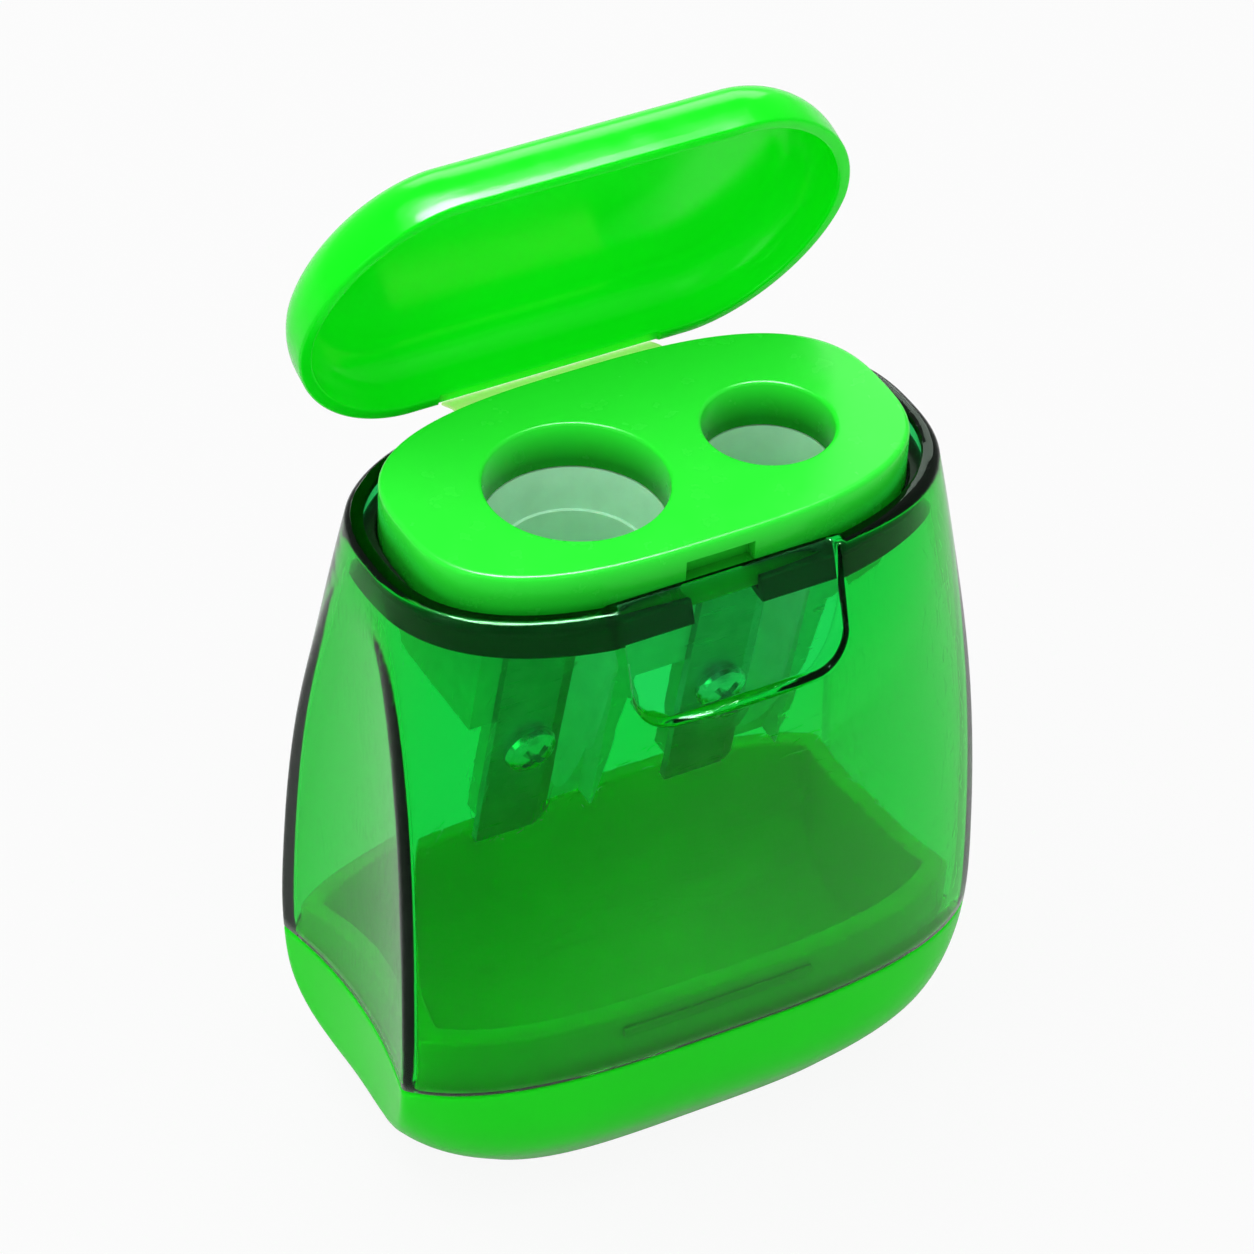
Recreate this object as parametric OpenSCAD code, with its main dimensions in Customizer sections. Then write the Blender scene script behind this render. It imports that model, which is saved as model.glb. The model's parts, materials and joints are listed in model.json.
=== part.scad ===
// Two-hole container pencil sharpener with a flip-up lid.
// Millimetres, +Z up, front towards -Y, foot on z = 0.

/* [Body outline] */
// Height of the container rim above the foot
rim_z = 54; // [50:1:64]
// Distance from each end of the deck to the outside of the rim
rim_side = 2.55; // [2.4:0.05:2.8]
// Distance from the deck's front and back to the outside of the rim
rim_front = 2.25; // [2.15:0.05:2.5]
// Rounding of the rim's outer edge
rim_round = 0.3; // [0.2:0.05:0.4]
// Height of the shoulder section
shoulder_z = 44.8; // [42:0.2:46]
// Full width at the shoulder
shoulder_w = 48.9; // [47:0.1:52]
// Full depth at the shoulder
shoulder_d = 32.4; // [31:0.1:35]
// Height of the chest section
chest_z = 32.4; // [29:0.2:36]
// Full width at the chest
chest_w = 53.9; // [52:0.1:58]
// Full depth at the chest
chest_d = 33.5; // [32:0.1:37]
// Height of the belly section
belly_z = 20.5; // [18:0.2:24]
// Full width at the belly
belly_w = 55.3; // [53:0.1:60]
// Full depth at the belly
belly_d = 32.4; // [31.5:0.1:36]
// Height of the seam between the container and the base
seam_z = 11.85; // [10:0.05:14]
// Full width at the seam
seam_w = 54.5; // [52:0.1:58]
// Full depth at the seam
seam_d = 30.8; // [30:0.1:34]
// Height of the lower bend of the base
bend_z = 5.4; // [4.5:0.1:7]
// Full width at the lower bend
bend_w = 48.6; // [46:0.1:52]
// Full depth at the lower bend
bend_d = 29.8; // [28:0.1:31]
// Full width of the foot
foot_w = 36.7; // [34:0.1:40]
// Full depth of the foot
foot_d = 22.8; // [21:0.1:25]
// Rounding of the foot's edge
foot_round = 0.5; // [0.3:0.1:0.8]

/* [Finger grips] */
// Distance between the two grip faces at mid depth
grip_span = 46.2; // [45.5:0.1:48]
// Radius of the scoop in each grip face
grip_scoop_r = 39; // [32:1:60]

/* [Container] */
// Thickness of the container wall
wall = 1.3; // [1:0.1:1.6]
// Full width of the thumb recess
recess_w = 17.6; // [15:0.2:18]
// Depth of the thumb recess below the rim
recess_drop = 8.9; // [8:0.1:10]
// Corner radius of the thumb recess
recess_corner_r = 3; // [2:0.5:4]
// Depth of the thumb recess at the rim
recess_depth = 1.3; // [1.1:0.05:1.35]
// Forward lean of the recess face per millimetre of drop
recess_lean = 0.3; // [0.26:0.01:0.31]
// Wall left behind the recess face
recess_wall = 0.8; // [0.7:0.05:0.8]
// Drop from the rim to the top of the collar band
collar_drop = 1.5; // [1.2:0.1:2]
// Height of the collar band
collar_h = 1.8; // [1.4:0.1:2.2]
// Width of the gap in the collar band at the front
collar_gap_w = 5.6; // [4:0.2:7]
// Height of the ledge at the foot of the collar band
ledge_h = 0.6; // [0.4:0.1:0.8]
// Reach of the ledge under the deck skirt
ledge_reach = 0.9; // [0.6:0.1:1.1]

/* [Base] */
// Thickness of the base floor
floor_t = 1.8; // [1.4:0.1:2.5]
// Rounding where the floor meets the wall inside
floor_round = 1; // [0.6:0.1:1.5]
// Thickness of the base wall
base_wall = 1.6; // [1.3:0.1:2]
// Height of the lip above the seam at the front
lip_front_h = 4.4; // [3:0.1:6]
// Height of the lip above the seam at the back
lip_back_h = 1.6; // [1:0.1:3]
// Clearance between the lip and the container wall
lip_fit = 0.35; // [0.3:0.05:0.5]
// Gap left at the seam
seam_gap = 0.1; // [0.05:0.05:0.2]
// Length of the snap rib on the lip
rib_len = 16; // [10:1:20]
// Height of the snap rib above the seam
rib_z = 2.8; // [1.5:0.1:3.2]
// Thickness of the snap rib, seen from the front
rib_t = 0.9; // [0.6:0.1:1.2]
// Proud depth of the snap rib
rib_proud = 0.2; // [0.1:0.05:0.25]

/* [Deck] */
// Height of the deck top above the rim
deck_rise = 2.6; // [2:0.1:3.5]
// Full width of the deck
deck_w = 39.7; // [38.5:0.1:40]
// Full depth of the deck
deck_d = 22.4; // [21.8:0.1:22.6]
// Squareness of the deck outline, as a superellipse exponent
deck_n = 2.82; // [2.4:0.02:3.2]
// Thickness of the deck plate
deck_t = 2; // [1.5:0.1:2.4]
// Radius of the deck's top edge
deck_edge_r = 0.4; // [0.3:0.1:0.8]
// Thickness of the deck skirt
skirt_t = 1.2; // [0.9:0.1:1.4]
// Clearance between the skirt and the collar band
skirt_fit = 0.15; // [0.1:0.05:0.2]
// Width of the latch notch in the front of the deck
notch_w = 5.6; // [4:0.2:8]
// Drop from the deck top to the top of the latch notch
notch_drop = 1.3; // [1:0.1:2]
// Height of the latch notch
notch_h = 1.7; // [1.2:0.1:2]
// Depth of the latch notch
notch_depth = 1; // [0.6:0.1:1.1]

/* [Pencil holes] */
// Distance from the middle to the large hole
large_x = 6.2; // [6:0.1:6.6]
// Distance from the middle to the small hole
small_x = 9.6; // [9.2:0.1:10]
// Distance of both hole centres in front of the middle plane
hole_front = 0.9; // [0.5:0.1:1.2]
// Diameter of the large hole in the deck
large_hole_d = 13.6; // [13.2:0.1:13.8]
// Diameter of the small hole in the deck
small_hole_d = 9.8; // [9.4:0.1:10]
// Radius of the rounded mouth of each hole
mouth_r = 0.3; // [0.2:0.05:0.5]
// Wall of the collar tube under each hole
tube_wall = 0.6; // [0.5:0.05:0.65]
// Drop from the deck top to the end of the collar tubes
tube_drop = 4; // [3.6:0.1:4.6]

/* [Lid] */
// Setback of the lid's long sides from the rim
lid_setback = 0.85; // [0.7:0.05:0.9]
// Reach of each rounded end of the lid
lid_end = 10.8; // [9:0.2:12]
// Roundness of the lid ends, as a superellipse exponent
lid_n = 1.85; // [1.7:0.05:2.2]
// Height of the closed lid
lid_h = 5.8; // [5.2:0.1:8]
// Radius of the lid's outer edge
lid_edge_r = 4; // [3:0.1:4.5]
// Thickness of the lid's side wall
lid_wall = 1.05; // [0.9:0.05:1.1]
// Thickness of the lid's top
lid_top_t = 1.4; // [1:0.1:1.8]
// Rise of the lid's top from its edge to the middle
lid_crown = 0.3; // [0.2:0.1:0.4]
// Chamfer around the lid's lower edge
lid_chamfer = 0.2; // [0.1:0.05:0.3]
// Gap between the closed lid and the container rim
lid_gap = 0.25; // [0.2:0.05:0.4]
// Angle from closed to the open rest position
open_angle = 71; // [60:1:90]
// Distance from the rim's back forward to the lid's turning axis
axis_inset = 0.15; // [0:0.05:0.25]
// Drop from the rim to the lid's turning axis
axis_drop = 1.6; // [1.4:0.1:1.8]

/* [Hinge film] */
// Width of the hinge film
film_w = 17.6; // [14:0.2:18]
// Thickness of the hinge film
film_t = 0.3; // [0.25:0.05:0.35]
// Side play of the film in the lid's notch
film_play = 0.4; // [0.3:0.05:0.6]
// Height of the notch in the lid for the film
film_notch_h = 0.45; // [0.4:0.05:0.5]
// Gap between the film and what it passes or meets
film_gap = 0.12; // [0.1:0.01:0.15]

/* [Sharpener block] */
// Reach of the block to the left of the middle
block_left = 16.3; // [16:0.1:16.6]
// Reach of the block to the right of the middle
block_right = 17.2; // [16.8:0.1:17.4]
// Drop from the deck top to the top of the block
block_drop = 3; // [2.6:0.1:3.4]
// Distance from the deck's ends in to the block's neck
neck_inset = 4.45; // [4.35:0.05:4.55]
// Clearance between the block's head and the collar band above it
head_fit = 0.4; // [0.3:0.05:0.6]
// Drop from the deck top to the lower edge of the block's head
head_drop = 16.6; // [15.5:0.1:18]
// Drop from the deck top to the head's lower edge at its right end
head_right_drop = 12.3; // [11.5:0.1:13]
// Distance from the middle plane to the back of the head
head_back = 7.2; // [7:0.1:7.4]
// Drop from the deck top to the tips of both cones
tip_drop = 30.4; // [29:0.2:32]
// Half angle of both pencil cones
cone_half_angle = 11.6; // [11:0.1:12.4]
// Diameter of the large pencil bore
large_bore_d = 11.6; // [11.2:0.1:11.8]
// Diameter of the small pencil bore
small_bore_d = 8.2; // [8:0.1:8.6]
// Height of the funnel from each hole down to its pencil bore
funnel_h = 3; // [2:0.2:4]
// Diameter of the opening at the tip of both cones
tip_d = 1.4; // [1:0.1:1.8]
// Distance from the middle to where the head's lower edge starts to rise on the right
head_bend = 10.4; // [9.5:0.1:11]
// Wall around both cones
cone_wall = 1.3; // [1:0.1:1.5]
// Setback of each blade bed from the back of its blade, below the head
bed_setback = 1; // [0.5:0.1:1.2]
// Wall of the blade beds past the screws' ends
bed_wall = 0.4; // [0.3:0.1:0.6]
// Height of the lower end of the blade beds above the tips
bed_rise = 1.5; // [1:0.1:3]
// Width of the shavings slot beside each blade
slot_w = 4; // [3:0.2:5]
// Depth of the shavings slot
slot_depth = 1.8; // [1.5:0.1:2.2]
// Play between the block's sockets and the collar tubes
socket_fit = 0.05; // [0.03:0.01:0.1]

/* [Blades and screws] */
// Width of both blades
blade_w = 6; // [5.5:0.1:6.5]
// Length of both blades
blade_l = 24; // [22:0.5:25]
// Thickness of both blades
blade_t = 0.7; // [0.5:0.05:0.8]
// Width of the ground bevel along the cutting edge
bevel_w = 1.2; // [0.8:0.1:1.6]
// Thickness left at the cutting edge
edge_t = 0.1; // [0.05:0.05:0.2]
// Distance from each hole's axis to the cutting edge
edge_offset = 2.3; // [2:0.1:2.6]
// Drop from the deck top to the upper end of both blades
blade_drop = 6; // [5.6:0.1:7]
// Diameter of the screw heads
head_d = 4; // [3.6:0.1:4.4]
// Height of the screw heads
head_h = 1.3; // [1:0.1:1.5]
// Height of the straight rim of the screw heads
head_rim_h = 0.4; // [0.3:0.1:0.6]
// Diameter of the screw shanks
shank_d = 2; // [1.8:0.1:2.2]
// Length of the screw shanks
shank_l = 3; // [2.8:0.1:3.4]
// Distance from the upper end of each blade down to its screw
screw_down = 14; // [12:0.2:16]
// Play between a screw shank and its hole in the block
shank_fit = 0.02; // [0.01:0.01:0.04]
// Play between a screw shank and the hole in the blade
shank_play = 0.3; // [0.2:0.05:0.4]
// Length of the arms of the cross recess
cross_l = 2.4; // [2:0.1:2.8]
// Width of the arms of the cross recess
cross_w = 0.6; // [0.5:0.05:0.7]
// Depth of the cross recess
cross_depth = 0.7; // [0.5:0.05:0.9]

/* [Hidden] */

$fn = 48;
grip_steps = 2;
curve_steps = 7;
end_steps = 10;
round_steps = 3;
mouth_steps = 5;
dome_steps = 4;
wall_steps = 9;
inner_steps = 7;
cup_steps = 3;
recess_steps = 3;
bisections = 16;
// Breadth over which the outline steps in to the recess and the collar's gap
draft = 0.25;
// Least depth of the grip's share of an outline
least_edge = 1;
// A grip so far out that it leaves the outline whole
no_grip = 1000;
// Height over which a stack of rings steps sideways
sliver = 0.02;
// Reach of a cut past the face that it opens
cut = 0.1;
// Reach of a piece into what carries it
root = 1;

rim_w = deck_w + 2 * rim_side;
rim_d = deck_d + 2 * rim_front;
lid_w = rim_w;
lid_d = rim_d - 2 * lid_setback;
axis_y = rim_d / 2 - axis_inset;
recess_face_y = rim_d / 2 - recess_depth;
deck_z = rim_z + deck_rise;
recess_z = rim_z - recess_drop;
recess_half = recess_w / 2;
collar_top = rim_z - collar_drop;
collar_low = collar_top - collar_h;
ledge_top = collar_low + ledge_h;
grip_half = grip_span / 2;
hole_y = -hole_front;
lid_z = rim_z + lid_gap;
axis_z = rim_z - axis_drop;
block_z = deck_z - block_drop;
neck_half = deck_w / 2 - neck_inset;
tube_z = deck_z - tube_drop;
tip_z = deck_z - tip_drop;
head_z = deck_z - head_drop;
wing_z = collar_low - head_fit;
cone_slope = tan(cone_half_angle);
blade_z = deck_z - blade_drop;
screw_z = blade_z - screw_down * cos(cone_half_angle);

// Sections from the foot up: height, half width, half depth, superellipse exponent
sections = [
    [0, foot_w / 2, foot_d / 2, 3.65],
    [bend_z, bend_w / 2, bend_d / 2, 3.4],
    [seam_z, seam_w / 2, seam_d / 2, 3.05],
    [belly_z, belly_w / 2, belly_d / 2, 2.7],
    [chest_z, chest_w / 2, chest_d / 2, 2.33],
    [shoulder_z, shoulder_w / 2, shoulder_d / 2, 2.25],
    [rim_z, rim_w / 2, rim_d / 2, 2.55]
];

// Smooth curve through column k of table v at height z
function span(v, z, i = 0) = i >= len(v) - 2 || z <= v[i + 1][0] ? i : span(v, z, i + 1);
function rise(v, k, a, b) = (v[b][k] - v[a][k]) / (v[b][0] - v[a][0]);
function slope(v, k, i) = rise(v, k, max(i - 1, 0), min(i + 1, len(v) - 1));
function smooth(v, k, z) =
    let (i = span(v, z), h = v[i + 1][0] - v[i][0], t = (z - v[i][0]) / h, u = 1 - t)
    v[i][k] * (1 + 2 * t) * u * u + slope(v, k, i) * h * t * u * u
    + v[i + 1][k] * t * t * (1 + 2 * u) - slope(v, k, i + 1) * h * t * t * u;

// Outline [half width, half depth, exponent] of the body at z, set in by t
function body(z, t = 0) = [smooth(sections, 1, z) - t, smooth(sections, 2, z) - t, smooth(sections, 3, z)];
// Outline of the deck, set in by t
function deck_outline(t = 0) = [deck_w / 2 - t, deck_d / 2 - t, deck_n];

// Superellipse: half breadth at depth y, and half depth at breadth x
function breadth(s, y) = s[0] * pow(max(0, 1 - pow(y / s[1], s[2])), 1 / s[2]);
function depth(s, x) = s[1] * pow(max(0, 1 - pow(x / s[0], s[2])), 1 / s[2]);
function scoop(g, y) = g + y * y / (2 * grip_scoop_r);
// Depth at which the grip face meets the outline
function grip_edge(s, g, lo, hi, k = bisections) =
    s[0] <= g ? 0 : k == 0 ? lo
    : let (m = (lo + hi) / 2)
      breadth(s, m) > scoop(g, m) ? grip_edge(s, g, m, hi, k - 1) : grip_edge(s, g, lo, m, k - 1);

// Stations across the front panel, from its side edge p to the middle
function stations(p) =
    [p - draft, (p + collar_gap_w / 2) / 2, collar_gap_w / 2 + draft / 4, collar_gap_w / 2 - draft / 4, 0];
// One quarter of an outline, from the side to the middle; panel holds the depths at the stations
function quarter(s, g, p, panel) =
    let (e = max(least_edge, grip_edge(s, g, 0, s[1])), x = stations(p),
        t0 = asin(pow(e / s[1], s[2] / 2)), t1 = acos(pow(p / s[0], s[2] / 2)))
    concat(
        [for (i = [0:grip_steps]) let (y = e * i / grip_steps) [min(breadth(s, y), scoop(g, y)), y]],
        [for (i = [1:curve_steps]) let (t = t0 + (t1 - t0) * i / curve_steps)
            [s[0] * pow(cos(t), 2 / s[2]), s[1] * pow(sin(t), 2 / s[2])]],
        [for (i = [0:len(x) - 1]) [x[i], panel[i]]]);
// A closed ring of points at height z, counter-clockwise from above
function ring(back, front, z) = let (m = len(back) - 1) concat(
    [for (i = [0:m - 1]) [back[i][0], back[i][1], z]],
    [for (i = [m:-1:1]) [-back[i][0], back[i][1], z]],
    [for (i = [0:m - 1]) [-front[i][0], -front[i][1], z]],
    [for (i = [m:-1:1]) [front[i][0], -front[i][1], z]]);
function plain(s, p) = [for (x = stations(p)) depth(s, x)];
function plain_ring(s, g, p, z) = let (q = quarter(s, g, p, plain(s, p))) ring(q, q, z);

// Half width of the thumb recess at height z above its foot at z0
function recess_at(z, z0) =
    let (r = recess_corner_r, k = max(0, r - (z - z0))) recess_half - r + sqrt(max(0, r * r - k * k));
function recess_face(z) = recess_face_y + (rim_z - z) * recess_lean;
// Depths of the front panel with its face held at y
function held(s, p, y) = [for (x = stations(p)) min(depth(s, x), y)];
// Body ring with the thumb recess: t is the inset of the wall, w the wall behind the recess
function recess_ring(z, t, w) =
    let (s = body(z, t), p = recess_at(z, recess_z - w) + w, g = grip_half - t)
    ring(quarter(s, g, p, plain(s, p)), quarter(s, g, p, held(s, p, recess_face(z) - w)), z);
function body_ring(z, t, p = recess_half - recess_corner_r) = plain_ring(body(z, t), grip_half - t, p, z);
// Ring of the collar band's bore, open at the gap in its front
function collar_ring(z, fit) =
    let (s = deck_outline(-fit), p = recess_half, b = body(z, wall), face = recess_face(z) - recess_wall,
        x = stations(p))
    ring(quarter(s, no_grip, p, plain(s, p)),
        quarter(s, no_grip, p, [for (v = x) v < collar_gap_w / 2 ? min(depth(b, v), face) : depth(s, v)]), z);

// Skins stacked rings; looped joins the last ring to the first, otherwise both ends are capped
module skin(rings, looped = false) {
    n = len(rings[0]);
    rows = looped ? len(rings) : len(rings) - 1;
    sides = [for (i = [0:rows - 1], j = [0:n - 1])
        let (k = (i + 1) % len(rings), a = i * n + j, b = i * n + (j + 1) % n,
            c = k * n + (j + 1) % n, d = k * n + j)
        each [[a, d, c], [a, c, b]]];
    caps = looped ? [] : [[for (j = [0:n - 1]) j], [for (j = [n - 1:-1:0]) (len(rings) - 1) * n + j]];
    polyhedron([for (r = rings) each r], concat(sides, caps));
}

// Heights in n even steps from a to b, from the first step on
function steps(a, b, n, first = 0) = [for (i = [first:n]) a + (b - a) * i / n];
// Heights at which the rounded foot of the recess is drawn
function recess_levels(z0) = [for (k = [0.04, 0.2, 0.5]) z0 + recess_corner_r * k];

module base_cup() {
    lip = wall + lip_fit;
    inside = lip + base_wall;
    outer = concat([body_ring(0, foot_round)],
        [for (z = concat(steps(foot_round, bend_z, cup_steps), steps(bend_z, seam_z, cup_steps, 1)))
            body_ring(z, 0)]);
    lip_low = body_ring(seam_z, lip);
    lip_top = [for (v = lip_low) [v[0], v[1], lip_height(v[1])]];
    lip_in = [for (v = body_ring(seam_z, inside)) [v[0], v[1], lip_height(v[1])]];
    inner = [for (z = steps(seam_z, floor_t + floor_round, cup_steps)) body_ring(z, inside)];
    color("limegreen") {
        skin(concat(outer, [lip_low, lip_top, lip_in], inner, [body_ring(floor_t, inside + floor_round)]));
        translate([-rib_len / 2, -body(seam_z)[1] + lip - rib_proud, seam_z + rib_z - rib_t / 2])
            cube([rib_len, rib_proud + root, rib_t]);
    }
}
// Top of the lip: level at the front, falling towards the back
function lip_height(y) =
    seam_z + lip_front_h - (lip_front_h - lip_back_h) * min(1, max(0, y / (seam_d / 2 - wall)));

module container() {
    low = seam_z + seam_gap;
    outer = concat(
        [for (z = steps(low, recess_z, wall_steps)) body_ring(z, 0)],
        [for (z = concat(recess_levels(recess_z),
                steps(recess_z + recess_corner_r, rim_z - rim_round, recess_steps)))
            recess_ring(z, 0, 0)],
        [recess_ring(rim_z, rim_round, rim_round)]);
    inner = concat(
        [for (z = [rim_z, collar_top]) recess_ring(z, wall, recess_wall)],
        [for (z = [collar_top - sliver, ledge_top]) collar_ring(z, skirt_fit)],
        [for (z = [ledge_top - sliver, collar_low]) collar_ring(z, -ledge_reach)],
        [for (z = [collar_low - sliver, recess_z + recess_corner_r]) recess_ring(z, wall, recess_wall)]);
    color([0.1, 0.8, 0.3, 0.5])
        skin(concat(outer, inner,
            [for (z = steps(recess_z - recess_wall - sliver, low, inner_steps)) body_ring(z, wall)]), true);
}

// Outline of the lid set in by t, at height z in the closed pose
function lid_ring(t, z) =
    let (a = lid_w / 2 - lid_end, e = lid_end - t, b = lid_d / 2 - t,
        q = concat([for (i = [0:end_steps]) let (v = 90 * i / end_steps)
            [a + e * pow(cos(v), 2 / lid_n), b * pow(sin(v), 2 / lid_n)]], [[0, b]]))
    ring(q, q, z);
// Rings of a rounded edge of radius r that ends at height z and starts at inset t
function rounded(t, z, r) = [for (k = [0:round_steps])
    let (v = 90 * k / round_steps) [t + r * (1 - cos(v)), z - r + r * sin(v)]];
function turned(v) = [for (i = [len(v) - 1:-1:0]) v[i]];

module deck() {
    outer = concat([[0, ledge_top]], rounded(0, deck_z, deck_edge_r));
    levels = concat([[skirt_t, deck_z - deck_t], [skirt_t, ledge_top]], outer);
    color([0.25, 0.95, 0.3]) difference() {
        union() {
            skin([for (v = levels) plain_ring(deck_outline(v[0]), no_grip, recess_half, v[1])]);
            at_holes() translate([0, 0, tube_z])
                cylinder(h = tube_drop - deck_t / 2, d = $hole_d + 2 * tube_wall);
        }
        at_holes() {
            translate([0, 0, tube_z - cut]) cylinder(h = tube_drop + 2 * cut, d = $hole_d);
            rotate_extrude() mouth($hole_d / 2);
        }
        translate([-notch_w / 2, -deck_d / 2 - cut, deck_z - notch_drop - notch_h])
            cube([notch_w, cut + notch_depth, notch_h]);
    }
}
// Places children on the axis of each pencil hole, with its sizes in $hole_d and $bore_d
module at_holes() {
    translate([-large_x, hole_y, 0]) {
        $hole_d = large_hole_d;
        $bore_d = large_bore_d;
        children();
    }
    translate([small_x, hole_y, 0]) {
        $hole_d = small_hole_d;
        $bore_d = small_bore_d;
        children();
    }
}
// Profile of what a hole's rounded mouth takes away, for a hole of radius r
module mouth(r) {
    arc = [for (i = [0:mouth_steps]) let (v = 90 + 90 * i / mouth_steps)
        [r + mouth_r + mouth_r * cos(v), deck_z - mouth_r + mouth_r * sin(v)]];
    polygon(concat([[r - cut, deck_z + cut], [r + mouth_r, deck_z + cut]], arc,
        [[r - cut, deck_z - mouth_r]]));
}

// Turns children from the closed pose to the open rest pose
module opened() {
    translate([0, axis_y, axis_z]) rotate([-open_angle, 0, 0]) translate([0, -axis_y, -axis_z]) children();
}
module lid() {
    top = lid_z + lid_h;
    inner = turned(rounded(lid_wall, top - lid_top_t, lid_edge_r - lid_wall));
    lip = [[lid_wall, lid_z], [lid_chamfer, lid_z], [0, lid_z + lid_chamfer]];
    levels = concat(inner, lip, rounded(0, top - lid_crown, lid_edge_r), [[2 * lid_edge_r, top]]);
    notch = film_w + 2 * film_play;
    color([0.15, 0.95, 0.2]) opened() difference() {
        skin([for (v = levels) lid_ring(v[0], v[1])]);
        translate([-notch / 2, lid_d / 2 - lid_wall - cut, lid_z - cut])
            cube([notch, lid_wall + 2 * cut, cut + film_notch_h]);
    }
}
// The film runs from the back of the deck over the rim to the lid's notch
module hinge_film() {
    over = rim_z + film_gap;
    away = lid_z + film_notch_h - axis_z;
    end_y = axis_y + (lid_d / 2 - axis_y) * cos(open_angle) + away * sin(open_angle) - film_gap;
    end_z = axis_z - (lid_d / 2 - axis_y) * sin(open_angle) + away * cos(open_angle) - film_t;
    line = [[deck_d / 2, over], [rim_d / 2 - film_gap, over], [end_y, end_z]];
    color([0.65, 0.95, 0.5]) translate([-film_w / 2, 0, 0]) rotate([90, 0, 90]) linear_extrude(film_w)
        polygon(concat(line, turned([for (v = line) [v[0], v[1] + film_t]])));
}

// Distance in front of the middle plane of the blade bed at height z
function bed_front(z) = hole_front + tip_d / 2 + (z - tip_z) * cone_slope;
// Solid between the blade beds' plane and the depth back, between heights z0 and z1 and breadths x0 and x1
module behind_bed(x0, x1, z0, z1, back) {
    translate([x0, 0, 0]) rotate([90, 0, 90]) linear_extrude(x1 - x0)
        polygon([[-bed_front(z0), z0], [back, z0], [back, z1], [-bed_front(z1), z1]]);
}
// Pad between the same bounds, of even thickness behind the plane
module bed(x0, x1, z0, z1) {
    t = (shank_l - blade_t + bed_wall) / cos(cone_half_angle);
    translate([x0, 0, 0]) rotate([90, 0, 90]) linear_extrude(x1 - x0)
        polygon([[-bed_front(z0), z0], [t - bed_front(z0), z0],
            [t - bed_front(z1), z1], [-bed_front(z1), z1]]);
}
// Places children on the plane of the blade beds, at breadth x and height z, with -Y pointing out of it
module on_bed(x, z) {
    translate([x, -bed_front(z), z]) rotate([cone_half_angle, 0, 0]) children();
}
module sharpener_block() {
    head = [[-neck_half, block_z], [-neck_half, wing_z], [-block_left, wing_z], [-block_left, head_z],
        [head_bend, head_z], [block_right, deck_z - head_right_drop], [block_right, wing_z],
        [neck_half, wing_z], [neck_half, block_z]];
    bed_x = edge_offset + blade_w - bed_setback;
    color([0.85, 0.9, 0.86]) difference() {
        union() {
            intersection() {
                behind_bed(-block_left, block_right, head_z, block_z, head_back);
                translate([0, head_back, 0]) rotate([90, 0, 0]) linear_extrude(4 * head_back) polygon(head);
            }
            at_holes() {
                intersection() {
                    translate([0, 0, tip_z])
                        cylinder(h = block_z - tip_z, r1 = tip_d / 2 + cone_wall,
                            r2 = tip_d / 2 + cone_wall + (block_z - tip_z) * cone_slope);
                    translate([0, -hole_y, 0])
                        behind_bed(-large_hole_d, large_hole_d, tip_z, head_z + root, large_hole_d);
                }
                translate([0, -hole_y, 0]) bed(-bed_x, -edge_offset, tip_z + bed_rise, head_z + root);
            }
        }
        at_holes() {
            translate([0, 0, tube_z]) cylinder(h = tube_drop, d = $hole_d + 2 * (tube_wall + socket_fit));
            cone_z = tip_z + ($bore_d - tip_d) / 2 / cone_slope;
            translate([0, 0, tube_z - funnel_h]) cylinder(h = funnel_h, d1 = $bore_d, d2 = $hole_d);
            translate([0, 0, cone_z]) cylinder(h = block_z - cone_z + cut, d = $bore_d);
            translate([0, 0, tip_z]) cylinder(h = cone_z - tip_z, d1 = tip_d, d2 = $bore_d);
            translate([0, 0, tip_z - cut]) cylinder(h = 2 * cut, d = tip_d);
            translate([0, -hole_y, 0]) on_bed(-edge_offset, tip_z)
                translate([0, -root, -root])
                    cube([slot_w, root + slot_depth, (wing_z - tip_z) / cos(cone_half_angle)]);
            translate([0, -hole_y, 0]) on_bed(-edge_offset - blade_w / 2, screw_z)
                translate([0, -root, 0]) rotate([-90, 0, 0])
                    cylinder(h = root + shank_l, r = shank_d / 2 + shank_fit);
        }
    }
}

// Blade whose edge runs beside the hole at breadth x
module blade(x) {
    profile = [[0, 0], [-blade_w, 0], [-blade_w, -blade_t], [-bevel_w, -blade_t], [0, -edge_t]];
    color([0.55, 0.58, 0.58]) translate([x - edge_offset, 0, 0]) on_bed(0, blade_z) difference() {
        translate([0, 0, -blade_l]) linear_extrude(blade_l) polygon(profile);
        translate([-blade_w / 2, cut, -screw_down]) rotate([90, 0, 0])
            cylinder(h = blade_t + 2 * cut, r = shank_d / 2 + shank_play);
    }
}
module blade_large() { blade(-large_x); }
module blade_small() { blade(small_x); }
// Pan-head screw that holds the blade beside the hole at breadth x
module screw(x) {
    r = head_d / 2;
    dome = [for (i = [0:dome_steps]) let (v = 90 * i / dome_steps)
        [r * cos(v), head_rim_h + (head_h - head_rim_h) * sin(v)]];
    color([0.5, 0.52, 0.52]) translate([x - edge_offset - blade_w / 2, 0, 0])
        on_bed(0, blade_z) translate([0, -blade_t, -screw_down]) rotate([90, 0, 0]) difference() {
            union() {
                rotate_extrude() polygon(concat([[0, 0], [r, 0]], dome));
                translate([0, 0, blade_t - shank_l]) cylinder(h = shank_l - blade_t + cut, d = shank_d);
            }
            for (turn = [45, 135]) rotate([0, 0, turn])
                translate([-cross_l / 2, -cross_w / 2, head_h - cross_depth])
                    cube([cross_l, cross_w, head_h]);
        }
}
module screw_large() { screw(-large_x); }
module screw_small() { screw(small_x); }

base_cup();
container();
deck();
hinge_film();
lid();
sharpener_block();
blade_large();
blade_small();
screw_large();
screw_small();
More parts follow.
